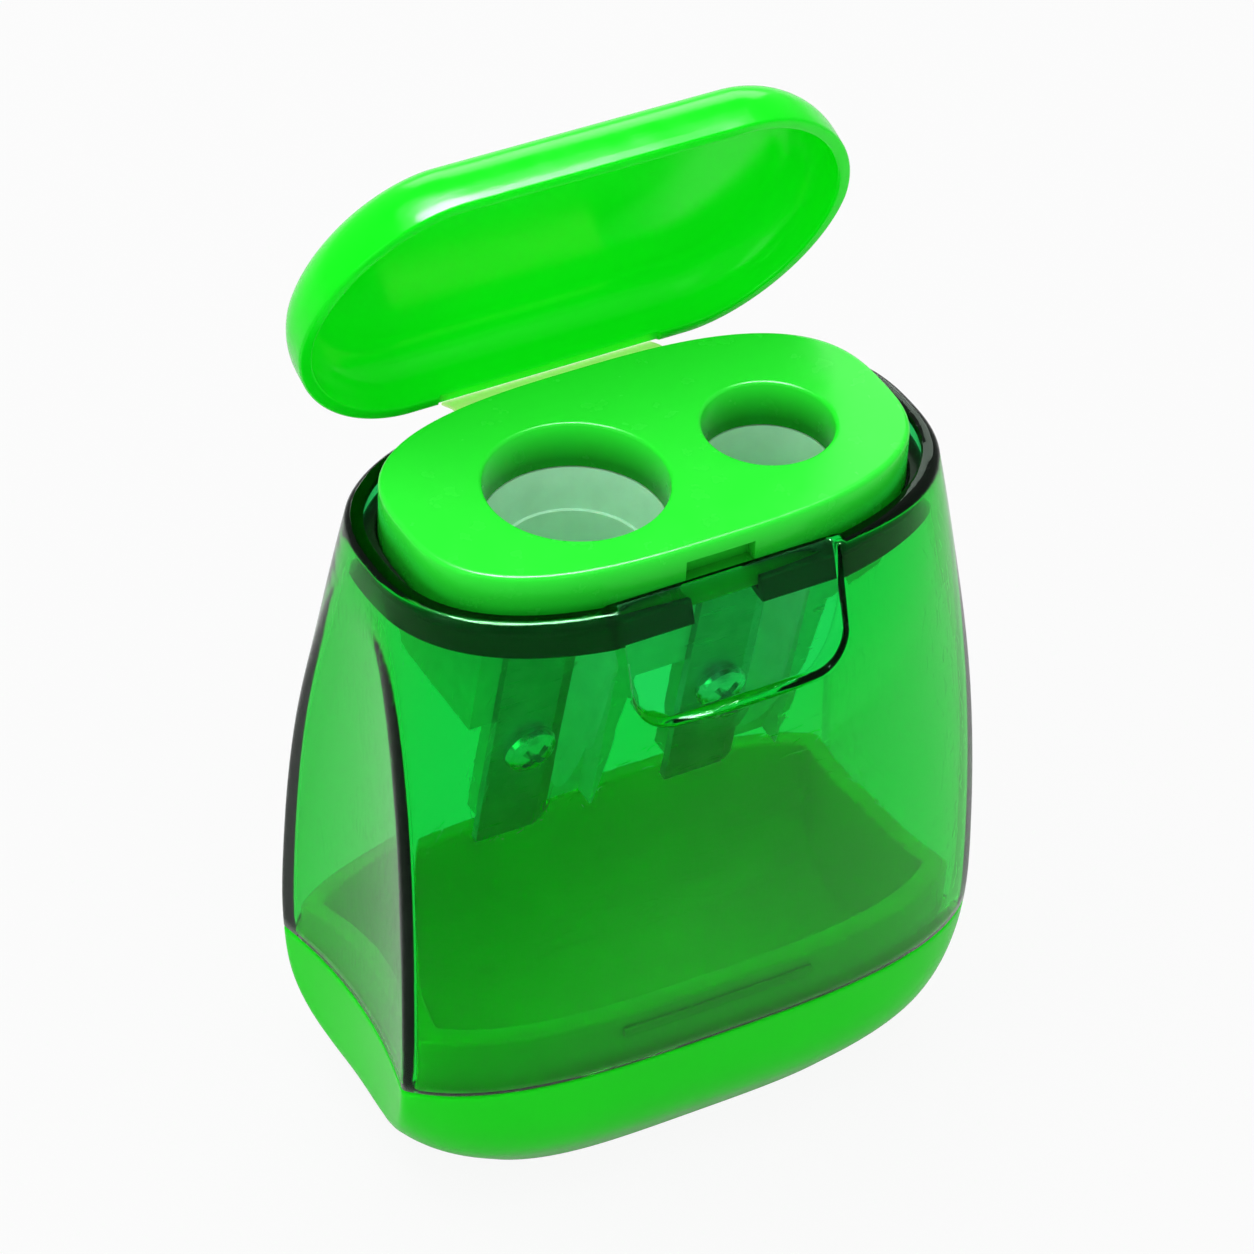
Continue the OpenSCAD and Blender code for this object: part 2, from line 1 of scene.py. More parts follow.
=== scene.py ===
"""Two-hole container pencil sharpener with a flip-up lid: its looks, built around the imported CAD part."""

import json
import math

import bmesh
import bpy
from bpy.props import FloatProperty, FloatVectorProperty, PointerProperty
from mathutils import Matrix, Vector


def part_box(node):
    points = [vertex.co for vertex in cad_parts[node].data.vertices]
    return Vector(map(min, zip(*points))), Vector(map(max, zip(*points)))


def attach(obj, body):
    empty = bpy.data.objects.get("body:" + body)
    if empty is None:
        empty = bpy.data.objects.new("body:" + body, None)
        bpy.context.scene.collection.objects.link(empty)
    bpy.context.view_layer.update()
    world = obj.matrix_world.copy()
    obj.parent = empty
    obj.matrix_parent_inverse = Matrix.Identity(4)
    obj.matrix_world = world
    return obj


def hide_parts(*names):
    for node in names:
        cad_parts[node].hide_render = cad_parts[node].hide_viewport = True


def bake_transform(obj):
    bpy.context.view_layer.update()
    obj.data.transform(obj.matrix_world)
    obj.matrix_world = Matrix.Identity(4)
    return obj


bl_info = {
    "name": "Container Pencil Sharpener",
    "version": (1, 0, 0),
    "blender": (4, 5, 0),
    "location": "View3D > Sidebar > Sharpener",
    "description": "Builds the dressed pieces of a two-hole container pencil sharpener on its CAD frame",
    "category": "Add Mesh",
}

MM = 0.001
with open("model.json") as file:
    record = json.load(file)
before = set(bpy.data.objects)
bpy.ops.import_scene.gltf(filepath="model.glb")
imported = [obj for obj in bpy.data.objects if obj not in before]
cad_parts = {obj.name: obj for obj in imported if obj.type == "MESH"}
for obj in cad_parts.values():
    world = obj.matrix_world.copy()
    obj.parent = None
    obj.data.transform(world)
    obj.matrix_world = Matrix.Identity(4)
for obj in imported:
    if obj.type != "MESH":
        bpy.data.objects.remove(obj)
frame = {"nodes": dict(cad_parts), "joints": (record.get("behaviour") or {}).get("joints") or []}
lid_hinge = next(joint for joint in frame["joints"] if joint["name"] == "lid_hinge")


def top_of(node):
    """Height of the top of a frame node, in millimetres."""
    return round(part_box(node)[1].z / MM, 2)


def foot_of(node):
    """Height of the lowest point of a frame node, in millimetres."""
    return round(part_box(node)[0].z / MM, 2)


def span_of(node, axis):
    """Full size of a frame node along an axis, in millimetres."""
    low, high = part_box(node)
    return round((high[axis] - low[axis]) / MM, 2)


def length(name, millimetres, description):
    """A length in metres, typed in millimetres."""
    return FloatProperty(
        name=name, default=millimetres * MM, description=description, unit="LENGTH", precision=5
    )


def number(name, default, description):
    """A plain number."""
    return FloatProperty(name=name, default=default, description=description, precision=3)


def angle(name, degrees, description):
    """An angle in radians, typed in degrees."""
    return FloatProperty(
        name=name, default=math.radians(degrees), description=description, subtype="ANGLE"
    )


def colour(name, default, description):
    """A linear colour."""
    return FloatVectorProperty(
        name=name, default=default, description=description, subtype="COLOR", size=3, min=0, max=1
    )


SEAM_GAP = 0.1  # millimetres between the container and the base
OPEN_DEGREES = lid_hinge["range_deg"][1]
AXIS_BACK, AXIS_HEIGHT = (at / MM for at in lid_hinge["pos_m"][1:])  # lid's axis, in millimetres


class BodySizes(bpy.types.PropertyGroup):
    """Outline of the container and the base, section by section."""

    rim_z: length("Rim height", top_of("container"), "Height of the container rim above the foot")
    rim_w: length("Rim width", 44.8, "Full width of the rim")
    rim_d: length("Rim depth", 26.9, "Full depth of the rim")
    rim_n: number("Rim squareness", 2.55, "Superellipse exponent of the rim")
    shoulder_z: length("Shoulder height", 44.8, "Height of the shoulder section")
    shoulder_w: length("Shoulder width", 48.9, "Full width at the shoulder")
    shoulder_d: length("Shoulder depth", 32.4, "Full depth at the shoulder")
    shoulder_n: number("Shoulder squareness", 2.25, "Superellipse exponent at the shoulder")
    chest_z: length("Chest height", 32.4, "Height of the chest section")
    chest_w: length("Chest width", 53.9, "Full width at the chest")
    chest_d: length("Chest depth", 33.5, "Full depth at the chest")
    chest_n: number("Chest squareness", 2.33, "Superellipse exponent at the chest")
    belly_z: length("Belly height", 20.5, "Height of the belly section")
    belly_w: length("Belly width", 55.3, "Full width at the belly")
    belly_d: length("Belly depth", 32.4, "Full depth at the belly")
    belly_n: number("Belly squareness", 2.7, "Superellipse exponent at the belly")
    seam_z: length("Seam height", foot_of("container") - SEAM_GAP, "Height of the seam above the foot")
    seam_w: length("Seam width", 54.5, "Full width at the seam")
    seam_d: length("Seam depth", 30.8, "Full depth at the seam")
    seam_n: number("Seam squareness", 3.05, "Superellipse exponent at the seam")
    bend_z: length("Bend height", 5.4, "Height of the lower bend of the base")
    bend_w: length("Bend width", 48.6, "Full width at the lower bend")
    bend_d: length("Bend depth", 29.8, "Full depth at the lower bend")
    bend_n: number("Bend squareness", 3.4, "Superellipse exponent at the lower bend")
    foot_w: length("Foot width", 36.7, "Full width of the foot")
    foot_d: length("Foot depth", 22.8, "Full depth of the foot")
    foot_n: number("Foot squareness", 3.65, "Superellipse exponent of the foot")
    grip_span: length("Grip span", 46.2, "Distance between the two grip faces at mid depth")
    grip_scoop_r: length("Grip scoop radius", 39, "Radius of the scoop in each grip face")
    grip_round: length("Grip edge rounding", 0.45, "Breadth over which the edge of a grip is rounded")


class ContainerSizes(bpy.types.PropertyGroup):
    """Wall, rim, thumb recess and collar band of the clear container."""

    wall: length("Wall", 1.3, "Thickness of the container wall")
    rim_round: length("Rim rounding", 0.5, "Radius of the edges of the rim")
    recess_w: length("Recess width", 17.6, "Full width of the thumb recess")
    recess_drop: length("Recess drop", 8.9, "Depth of the thumb recess below the rim")
    recess_corner_r: length("Recess corner", 3, "Corner radius of the thumb recess")
    recess_face_y: length("Recess face", 12.15, "Distance from the middle to the recess face at the rim")
    recess_lean: number("Recess lean", 0.36, "Forward lean of the recess face for each length of drop")
    recess_wall: length("Recess wall", 0.8, "Wall left behind the recess face")
    recess_step: length("Recess step", 0.3, "Breadth over which the outline steps in to the recess")
    collar_drop: length("Collar drop", 1.5, "Drop from the rim to the top of the collar band")
    collar_h: length("Collar height", 1.8, "Height of the collar band")
    collar_gap_w: length("Collar gap", 5.6, "Width of the gap in the collar band at the front")
    ledge_h: length("Ledge height", 0.6, "Height of the ledge at the foot of the collar band")
    ledge_reach: length("Ledge reach", 0.9, "Reach of the ledge under the deck skirt")
    seam_gap: length("Seam gap", SEAM_GAP, "Gap left at the seam")
    foot_edge: length("Foot edge", 0.12, "Bevel of the container's lower edge")
    inner_round: length("Inner rounding", 0.25, "Radius of the rim's inner edge")
    collar_edge: length("Collar edge", 0.12, "Bevel of the collar band's edges")
    collar_seat: length("Collar seat", 0.03, "Gap between the collar band and the wall")


class BaseSizes(bpy.types.PropertyGroup):
    """Floor, lip and snap rib of the base cup."""

    floor_t: length("Floor", 1.8, "Thickness of the base floor")
    wall: length("Wall", 1.6, "Thickness of the base wall")
    lip_front_h: length("Front lip", 4.4, "Height of the lip above the seam at the front")
    lip_back_h: length("Back lip", 1.6, "Height of the lip above the seam at the back")
    lip_fit: length("Lip fit", 0.35, "Clearance between the lip and the container wall")
    rib_len: length("Rib length", 16, "Length of the snap rib on the lip")
    rib_z: length("Rib height", 2.8, "Height of the snap rib above the seam")
    rib_t: length("Rib thickness", 0.9, "Thickness of the snap rib, seen from the front")
    rib_proud: length("Rib depth", 0.2, "Proud depth of the snap rib")
    rib_root: length("Rib root", 0.6, "Reach of the snap rib into the lip")
    rib_edge: length("Rib edge", 0.12, "Bevel of the snap rib")
    foot_round: length("Foot rounding", 0.9, "Radius of the edge around the foot")
    seam_round: length("Seam rounding", 0.2, "Radius of the base's upper edge")
    lip_crease: length("Lip crease", 0.1, "Bevel at the foot of the lip")
    lip_round: length("Lip rounding", 0.25, "Radius of the lip's edges")
    floor_round: length("Floor rounding", 1.5, "Radius of the corner around the floor")


class DeckSizes(bpy.types.PropertyGroup):
    """Deck plate with its two pencil holes."""

    rise: length("Rise", top_of("deck") - top_of("container"), "Height of the deck top above the rim")
    width: length("Width", span_of("deck", 0), "Full width of the deck")
    depth: length("Depth", span_of("deck", 1), "Full depth of the deck")
    squareness: number("Squareness", 2.82, "Superellipse exponent of the deck outline")
    plate_t: length("Plate", 2, "Thickness of the deck plate")
    edge_r: length("Edge radius", 0.4, "Radius of the deck's top edge")
    edge_flat: length("Edge flat", 0.06, "Breadth of the flat ring beside each rounded edge")
    skirt_t: length("Skirt", 1.2, "Thickness of the deck skirt")
    skirt_edge: length("Skirt edge", 0.1, "Bevel of the skirt's lower edges")
    skirt_fit: length("Skirt fit", 0.15, "Clearance between the skirt and the collar band")
    large_x: length("Large hole", 6.2, "Distance from the middle to the large hole")
    small_x: length("Small hole", 9.6, "Distance from the middle to the small hole")
    hole_front: length("Hole offset", 0.9, "Distance of both hole centres in front of the middle plane")
    large_hole_d: length("Large diameter", 13.6, "Diameter of the large hole in the deck")
    small_hole_d: length("Small diameter", 9.8, "Diameter of the small hole in the deck")
    mouth_r: length("Mouth radius", 0.3, "Radius of the rounded mouth of each hole")
    tube_wall: length("Tube wall", 0.6, "Wall of the collar tube under each hole")
    tube_drop: length("Tube drop", 4, "Drop from the deck top to the end of the collar tubes")
    tube_edge: length("Tube edge", 0.15, "Bevel inside the end of the collar tubes")
    notch_w: length("Notch width", 5.6, "Width of the latch notch in the front of the deck")
    notch_drop: length("Notch drop", 1.3, "Drop from the deck top to the top of the latch notch")
    notch_h: length("Notch height", 1.7, "Height of the latch notch")
    notch_depth: length("Notch depth", 1, "Depth of the latch notch")
    notch_clear: length("Notch clearance", 1, "Reach of the notch's cutter in front of the deck")
    # Painted shade: over this drop the deck's colour darkens towards the bottom, standing in for the shade
    # down its side and in its holes.
    painted_shade_drop: length("Fade drop", 3.2, "Drop from the deck top over which the colour deepens")
    painted_shade_share: number("Fade share", 0.3, "Share of the colour left at the foot of that drop")


class LidSizes(bpy.types.PropertyGroup):
    """Flip-up lid and its hinge film."""

    width: length("Width", span_of("lid", 0), "Full width of the lid")
    depth: length("Depth", 25.2, "Full depth of the lid")
    end: length("End reach", 10.8, "Reach of each rounded end of the lid")
    squareness: number("End squareness", 1.85, "Superellipse exponent of the lid ends")
    height: length("Height", 5.8, "Height of the lid")
    edge_r: length("Edge radius", 4, "Radius of the lid's outer edge")
    wall: length("Wall", 1.05, "Thickness of the lid's side wall")
    top_t: length("Top", 1.4, "Thickness of the lid's top")
    crown: length("Crown", 0.3, "Rise of the lid's top from its edge radius to the middle")
    gap: length("Gap", 0.25, "Gap between the closed lid and the container rim")
    lip_round: length("Rim rounding", 0.22, "Radius of the edges of the lid's rim")
    inside_ring: length("Inside ring", 1.2, "Height of the inner wall's level ring above the lid's edge")
    outside_ring: length("Outside ring", 0.9, "Height of the outer wall's level ring above the lid's edge")
    open_angle: angle("Open angle", OPEN_DEGREES, "Angle from closed to the open rest position")
    axis_y: length("Axis depth", AXIS_BACK, "Distance from the middle plane back to the axis")
    axis_drop: length("Axis drop", top_of("container") - AXIS_HEIGHT, "Drop from the rim to the axis")
    film_w: length("Film width", span_of("hinge_film", 0), "Width of the hinge film")
    film_t: length("Film thickness", 0.3, "Thickness of the hinge film")
    film_play: length("Film play", 0.4, "Side play of the film in the lid's notch")
    film_notch_h: length("Film notch", 0.2, "Height of the notch in the lid for the film")
    film_gap: length("Film gap", 0.12, "Gap between the film and what it passes or meets")
    film_root: length("Film root", 0.35, "Reach of the film into the lid's rim")
    film_edge: length("Film edge", 0.07, "Bevel of the film's long edges")


class Finishes(bpy.types.PropertyGroup):
    """Colours and grain of the materials."""

    green: colour("Moulded green", (0.012, 0.76, 0.014), "Opaque plastic of the base")
    deck_green: colour("Deck green", (0.03, 0.9, 0.042), "Opaque plastic of the deck")
    lid_green: colour("Lid green", (0.004, 0.97, 0.01), "Slightly translucent plastic of the lid")
    film_green: colour("Film green", (0.6, 1.0, 0.3), "Thin plastic of the hinge film")
    # Painted light: the film is given an emission that stands in for daylight coming through it.
    film_painted_glow: number("Film glow", 0.3, "Daylight that comes through the thin film")
    tint: colour("Clear tint", (0.0, 0.94, 0.5), "What the clear plastic lets through")
    # Painted shade: the collar band is near black, standing in for the shade and trapped light in the thick
    # clear band under the rim.
    collar: colour("Collar", (0.012, 0.022, 0.013), "Thick collar band, dark with trapped light")
    sheen_tint: colour("Gloss tint", (0.22, 0.6, 0.26), "Colour of the gloss on the opaque plastic")
    clear_gloss: colour("Clear gloss", (0.14, 0.36, 0.18), "Colour of the gloss on the clear plastic")
    tint_density: number("Tint density", 1960, "How strongly the clear plastic absorbs, for each metre")
    block: colour("Block", (0.5, 0.86, 0.62), "Pale plastic of the sharpener block")
    steel: colour("Steel", (0.48, 0.51, 0.48), "Ground steel of the blades")
    plating: colour("Plating", (0.8, 0.81, 0.8), "Plated steel of the screws")


class StageSettings(bpy.types.PropertyGroup):
    """Camera, floor and lamps."""

    azimuth: angle("Azimuth", -30.04, "Turn of the camera around the object")
    elevation: angle("Elevation", 39.16, "Height of the camera above the horizon")
    roll: angle("Roll", 2.49, "Turn of the camera about its own line of sight")
    distance: length("Distance", 396.48, "Distance from the camera to the deck")
    aim_right: length("Aim right", 1.4, "Distance of the deck to the right of the view's middle")
    aim_up: length("Aim up", 12.69, "Distance of the deck above the view's middle")
    lens: number("Focal length", 157.895, "Focal length on a 36 mm sensor")
    floor_size: length("Floor size", 6000, "Width of the floor")
    floor_colour: colour("Floor", (0.45, 0.45, 0.45), "Matt paper of the floor")
    paper_white: number("Paper white", 0.92, "Share of even white that the paper shows")
    mirrored_white: number("Paper white mirrored", 0.2, "The same share, seen in gloss")
    through_white: number("Paper white inside", 0.7, "The same share, seen through the clear plastic")
    room: number("Room light", 0.8, "Level of the even light all around")
    room_gloss: number("Room in gloss", 0.35, "Level of the room light as gloss mirrors it")
    key: number("Key lamp", 2.0, "Power of the large soft box above")
    side: number("Side lamp", 0.8, "Power of the soft box at the left")
    back: number("Back lamp", 2.5, "Power of the soft box behind")
    front: number("Front lamp", 0.5, "Power of the soft box in front")
    glint: number("Glint lamp", 50, "Power of the overhead box that only shows in gloss")


def sizes():
    """Everything that can be set, group by group."""
    return bpy.context.scene.sharpener


# ---------------------------------------------------------------- outlines


HALVINGS = 30  # of the search for the grip's edge
NO_GRIP = 1.0  # a grip face too far out to cut anything
GRIP_STEPS = 16  # points on a quarter ring's grip face
CURVE_STEPS = 40  # points on its curve from the grip face to the panel
PANEL_STEPS = 30  # points across the side of the thumb recess
HOLE_STEPS = 96  # points around a pencil hole
LEAST_GRIP = 1 * MM  # half depth of the narrowest grip face
GAP_EDGE = 0.12 * MM  # spacing of the points at the collar's gap
GAP_BLEND = 0.25 * MM  # breadth over which the collar's bore opens at the gap


def hermite(table, column, z):
    """Smooth curve through one column of the table at height z."""
    last = len(table) - 1

    def slope(i):
        a, b = max(i - 1, 0), min(i + 1, last)
        return (table[b][column] - table[a][column]) / (table[b][0] - table[a][0])

    i = max(k for k in range(last) if k == 0 or z > table[k][0])
    h = table[i + 1][0] - table[i][0]
    t = (z - table[i][0]) / h
    u = 1 - t
    return (
        table[i][column] * (1 + 2 * t) * u * u
        + slope(i) * h * t * u * u
        + table[i + 1][column] * t * t * (1 + 2 * u)
        - slope(i + 1) * h * t * t * u
    )


def body_outline(z, inset=0.0):
    """Superellipse (half width, half depth, exponent) of the body at height z."""
    b = sizes().body
    names = ("foot", "bend", "seam", "belly", "chest", "shoulder", "rim")
    table = [
        (
            0.0 if name == "foot" else getattr(b, name + "_z"),
            getattr(b, name + "_w") / 2,
            getattr(b, name + "_d") / 2,
            getattr(b, name + "_n"),
        )
        for name in names
    ]
    return hermite(table, 1, z) - inset, hermite(table, 2, z) - inset, hermite(table, 3, z)


def deck_outline(inset):
    """Superellipse of the deck, set in."""
    d = sizes().deck
    return d.width / 2 - inset, d.depth / 2 - inset, d.squareness


def half_breadth(outline, y):
    """Distance from the middle to the outline along x, at depth y."""
    a, b, n = outline
    return a * max(0.0, 1 - (abs(y) / b) ** n) ** (1 / n)


def half_depth(outline, x):
    """Distance from the middle to the outline along y, at breadth x."""
    a, b, n = outline
    return b * max(0.0, 1 - (abs(x) / a) ** n) ** (1 / n)


def soft_min(a, b, width):
    """The smaller of a and b, rounded over where they cross."""
    h = min(1.0, max(0.0, 0.5 + 0.5 * (b - a) / width))
    return b + (a - b) * h - width * h * (1 - h)


def smooth_step(t):
    """Eases from 0 to 1 as t does, level at both ends."""
    t = min(1.0, max(0.0, t))
    return t * t * (3 - 2 * t)


def scoop(y, grip):
    """Distance of the scooped grip face from the middle, at depth y."""
    return grip + y * y / (2 * sizes().body.grip_scoop_r)


def grip_edge(outline, grip):
    """Depth at which the grip face meets the outline, found by halving."""
    if outline[0] <= grip:
        return 0.0
    low, high = 0.0, outline[1]
    for _ in range(HALVINGS):
        middle = (low + high) / 2
        if half_breadth(outline, middle) > scoop(middle, grip):
            low = middle
        else:
            high = middle
    return low


def panel_stations():
    """Breadths across the front panel, close together at the edges of the recess and of the collar gap."""
    c = sizes().container
    outer = c.recess_w / 2 + c.recess_wall + c.recess_step
    inner = c.recess_w / 2 - c.recess_corner_r - c.recess_step / 2
    gap = c.collar_gap_w / 2
    middle = even(inner, gap, 4)[1:-1]
    at_gap = [gap + GAP_EDGE, gap, gap - GAP_EDGE, gap - 2.5 * GAP_EDGE]
    return even(outer, inner, PANEL_STEPS) + middle + at_gap + [gap / 2, 0.0]


def quarter(outline, grip, stations, panel):
    """One quarter of a ring as (x, y) pairs, from the side to the middle; panel(x) is the depth at x."""
    edge = max(LEAST_GRIP, grip_edge(outline, grip))
    a, b, n = outline
    start = math.asin((edge / b) ** (n / 2))
    stop = math.acos((stations[0] / a) ** (n / 2))
    width = sizes().body.grip_round
    points = []
    for i in range(GRIP_STEPS + 1):
        y = edge * math.sin(math.pi / 2 * i / GRIP_STEPS)
        points.append((soft_min(half_breadth(outline, y), scoop(y, grip), width), y))
    for i in range(1, CURVE_STEPS):
        t = start + (stop - start) * (1 - math.cos(math.pi / 2 * i / CURVE_STEPS))
        x, y = a * math.cos(t) ** (2 / n), b * math.sin(t) ** (2 / n)
        points.append((soft_min(x, scoop(y, grip), width), y))
    return points + [(x, panel(x)) for x in stations]


def whole_ring(back, front, height):
    """Closes two quarters, back and front, into a ring; height is a number or a function of (x, y)."""
    at = height if callable(height) else lambda x, y: height
    m = len(back) - 1
    outline = [(back[i][0], back[i][1]) for i in range(m)]
    outline += [(-back[i][0], back[i][1]) for i in range(m, 0, -1)]
    outline += [(-front[i][0], -front[i][1]) for i in range(m)]
    outline += [(front[i][0], -front[i][1]) for i in range(m, 0, -1)]
    return [Vector((x, y, at(x, y))) for x, y in outline]


def body_ring(z, inset, height=None):
    """Ring of the body at height z, set in, without the thumb recess."""
    outline = body_outline(z, inset)
    points = quarter(
        outline, sizes().body.grip_span / 2 - inset, panel_stations(), lambda x: half_depth(outline, x)
    )
    return whole_ring(points, points, z if height is None else height)


def recess_face(z):
    """Distance of the recess face from the middle plane, at height z."""
    c = sizes().container
    return c.recess_face_y + (sizes().body.rim_z - z) * c.recess_lean


def outside_recess(x, z):
    """Distance of the point (x, z) outside the rounded frame of the thumb recess, negative within it."""
    c = sizes().container
    r = c.recess_corner_r
    across = abs(x) - (c.recess_w / 2 - r)
    below = sizes().body.rim_z - c.recess_drop + r - z
    return math.hypot(max(across, 0), max(below, 0)) + min(max(across, below), 0) - r


def recess_ring(z, inset, behind, extra=0.0):
    """Ring of the body with the thumb recess; behind is the wall at its face, and extra rounds the face."""
    step = sizes().container.recess_step
    outline = body_outline(z, inset)
    grip = sizes().body.grip_span / 2 - inset
    stations = panel_stations()

    def front(x):
        outer = half_depth(outline, x)
        t = smooth_step((outside_recess(x, z) - behind) / step + 0.5)
        held = min(outer, recess_face(z) - behind - extra)
        return held + (outer - held) * t

    return whole_ring(
        quarter(outline, grip, stations, lambda x: half_depth(outline, x)),
        quarter(outline, grip, stations, front),
        z,
    )


def collar_ring(z, fit):
    """Ring of the collar band's bore, clear of the deck by fit and open at the gap in its front."""
    c = sizes().container
    bore = deck_outline(-fit)
    wall = body_outline(z, c.wall)
    face = recess_face(z) - c.recess_wall
    stations = panel_stations()

    def front(x):
        band = half_depth(bore, x)
        opened = min(half_depth(wall, x), face)
        return band + (opened - band) * smooth_step((c.collar_gap_w / 2 - x) / GAP_BLEND + 0.5)

    return whole_ring(
        quarter(bore, NO_GRIP, stations, lambda x: half_depth(bore, x)),
        quarter(bore, NO_GRIP, stations, front),
        z,
    )


def deck_ring(inset, z):
    """Ring of the deck's outline, set in."""
    outline = deck_outline(inset)
    points = quarter(outline, NO_GRIP, panel_stations(), lambda x: half_depth(outline, x))
    return whole_ring(points, points, z)


def circle(x, y, radius, z):
    """Ring of a round hole."""
    turns = [i * 2 * math.pi / HOLE_STEPS for i in range(HOLE_STEPS)]
    return [Vector((x + radius * math.cos(t), y + radius * math.sin(t), z)) for t in turns]


def rounded(radius, count=6):
    """(set in, down) pairs along a quarter round, from the side to the top."""
    turns = even(0, math.pi / 2, count)
    return [(radius * (1 - math.cos(turn)), radius * (1 - math.sin(turn))) for turn in turns]


def even(start, stop, count):
    """Evenly spaced values from start to stop, both included."""
    return [start + (stop - start) * i / count for i in range(count + 1)]


# ---------------------------------------------------------------- meshes


def bridge(mesh, lower, upper):
    """Faces between two rings of as many vertices."""
    count = len(lower)
    for i in range(count):
        k = (i + 1) % count
        mesh.faces.new((lower[i], lower[k], upper[k], upper[i]))


def loft(mesh, rings, looped=False):
    """Skins the rings in order and gives back their vertices."""
    rows = [[mesh.verts.new(point) for point in ring] for ring in rings]
    for lower, upper in zip(rows, rows[1:]):
        bridge(mesh, lower, upper)
    if looped:
        bridge(mesh, rows[-1], rows[0])
    return rows


def close_ends(mesh, rows):
    """Caps the first and the last row."""
    mesh.faces.new(rows[0])
    mesh.faces.new(rows[-1])


def fill_between(mesh, loops):
    """Flat face with holes, filled between loops of vertices."""
    edges = []
    for loop in loops:
        for i, vertex in enumerate(loop):
            after = loop[(i + 1) % len(loop)]
            edges.append(mesh.edges.get((vertex, after)) or mesh.edges.new((vertex, after)))
    bmesh.ops.triangle_fill(mesh, edges=edges, use_beauty=True, use_dissolve=False)


def add_box(mesh, size, middle):
    """A box of that size about its middle; gives back its corners."""
    corners = bmesh.ops.create_cube(mesh, size=1)["verts"]
    bmesh.ops.scale(mesh, verts=corners, vec=size)
    bmesh.ops.translate(mesh, verts=corners, vec=middle)
    return corners


def link_mesh(mesh, name):
    """Turns a bmesh into a linked object."""
    data = bpy.data.meshes.new(name)
    mesh.to_mesh(data)
    mesh.free()
    made = bpy.data.objects.new(name, data)
    bpy.context.scene.collection.objects.link(made)
    return made


def finish_piece(mesh, name, material, smooth_angle):
    """Turns a bmesh into a piece with its material and slot; edges over smooth_angle degrees stay sharp."""
    bmesh.ops.recalc_face_normals(mesh, faces=mesh.faces)
    piece = link_mesh(mesh, name)
    piece.data.shade_smooth()
    piece.data.set_sharp_from_angle(angle=math.radians(smooth_angle))
    piece.data.materials.append(material)
    return piece


def apply_modifiers(piece):
    """Writes the piece's modifiers into its mesh."""
    view = bpy.context.evaluated_depsgraph_get()
    baked = bpy.data.meshes.new_from_object(piece.evaluated_get(view))
    piece.modifiers.clear()
    piece.data = baked


# ---------------------------------------------------------------- materials


class Nodes:
    """A small helper that adds and joins shader nodes."""

    MIX_FACTOR, MIX_FIRST, MIX_SECOND, MIX_RESULT = 0, 6, 7, 2  # places of a Mix node's colour sockets

    def __init__(self, name):
        self.material = bpy.data.materials.new(name)
        self.material.use_nodes = True
        self.tree = self.material.node_tree
        self.shader = self.tree.nodes["Principled BSDF"]
        self.output = self.tree.nodes["Material Output"]
        self.place = self.add("ShaderNodeTexCoord").outputs["Object"]

    def put(self, socket, value):
        """Links a socket to another one, or gives it a value."""
        if isinstance(value, bpy.types.NodeSocket):
            self.tree.links.new(value, socket)
        elif socket.type == "RGBA":
            socket.default_value = (*value, 1.0)
        else:
            socket.default_value = value

    def fill(self, node, inputs):
        """Fills the sockets of a node from a dictionary, where _ in a name stands for a space."""
        for name, value in inputs.items():
            self.put(node.inputs[name.replace("_", " ")], value)

    def add(self, kind, **inputs):
        """Adds a node with its inputs."""
        node = self.tree.nodes.new(kind)
        self.fill(node, inputs)
        return node

    def principled(self, **inputs):
        """Fills sockets of the surface shader."""
        self.fill(self.shader, inputs)

    def stretched(self, scale, turn=(0.0, 0.0, 0.0)):
        """Object coordinates in millimetres, scaled on each axis and turned."""
        factors = [s / MM for s in scale]
        node = self.add("ShaderNodeMapping", Vector=self.place, Scale=factors, Rotation=turn)
        return node.outputs["Vector"]

    def noise(self, scale, detail):
        """Noise with that many features to the millimetre, the same on each axis or one number for each."""
        axes = scale if hasattr(scale, "__len__") else (scale, scale, scale)
        return self.noise_at(self.stretched(axes), detail)

    def noise_at(self, vector, detail):
        """Noise at the given coordinates."""
        return self.add("ShaderNodeTexNoise", Vector=vector, Scale=1.0, Detail=detail).outputs["Fac"]

    def ranged(self, value, low, high, start=0.3, stop=0.7):
        """Maps value between start and stop onto low to high."""
        limits = {"From_Min": start, "From_Max": stop, "To_Min": low, "To_Max": high}
        return self.add("ShaderNodeMapRange", Value=value, **limits).outputs["Result"]

    def mixed(self, value, first, second):
        """Colour between first and second."""
        node = self.add("ShaderNodeMix")
        node.data_type = "RGBA"
        places = (self.MIX_FACTOR, self.MIX_FIRST, self.MIX_SECOND)
        for place, content in zip(places, (value, first, second)):
            self.put(node.inputs[place], content)
        return node.outputs[self.MIX_RESULT]

    def product(self, first, second):
        """One number times another."""
        node = self.add("ShaderNodeMath")
        node.operation = "MULTIPLY"
        for socket, content in zip(node.inputs, (first, second)):
            self.put(socket, content)
        return node.outputs[0]

    def bump(self, height, distance, strength, normal=None):
        """Bump of a height pattern, laid over another one's normal."""
        node = self.add("ShaderNodeBump", Height=height, Distance=distance, Strength=strength)
        if normal is not None:
            self.put(node.inputs["Normal"], normal)
        return node.outputs["Normal"]


def darker(value, share):
    """That share of a colour."""
    return tuple(c * share for c in value)


def scratches(nodes, turn):
    """Thin faint lines, nearly straight, as from handling."""
    wide = nodes.noise_at(nodes.stretched((0.05, 2.6, 0.6), turn), 1.0)
    return nodes.ranged(wide, 0.0, 1.0, 0.62, 0.64)


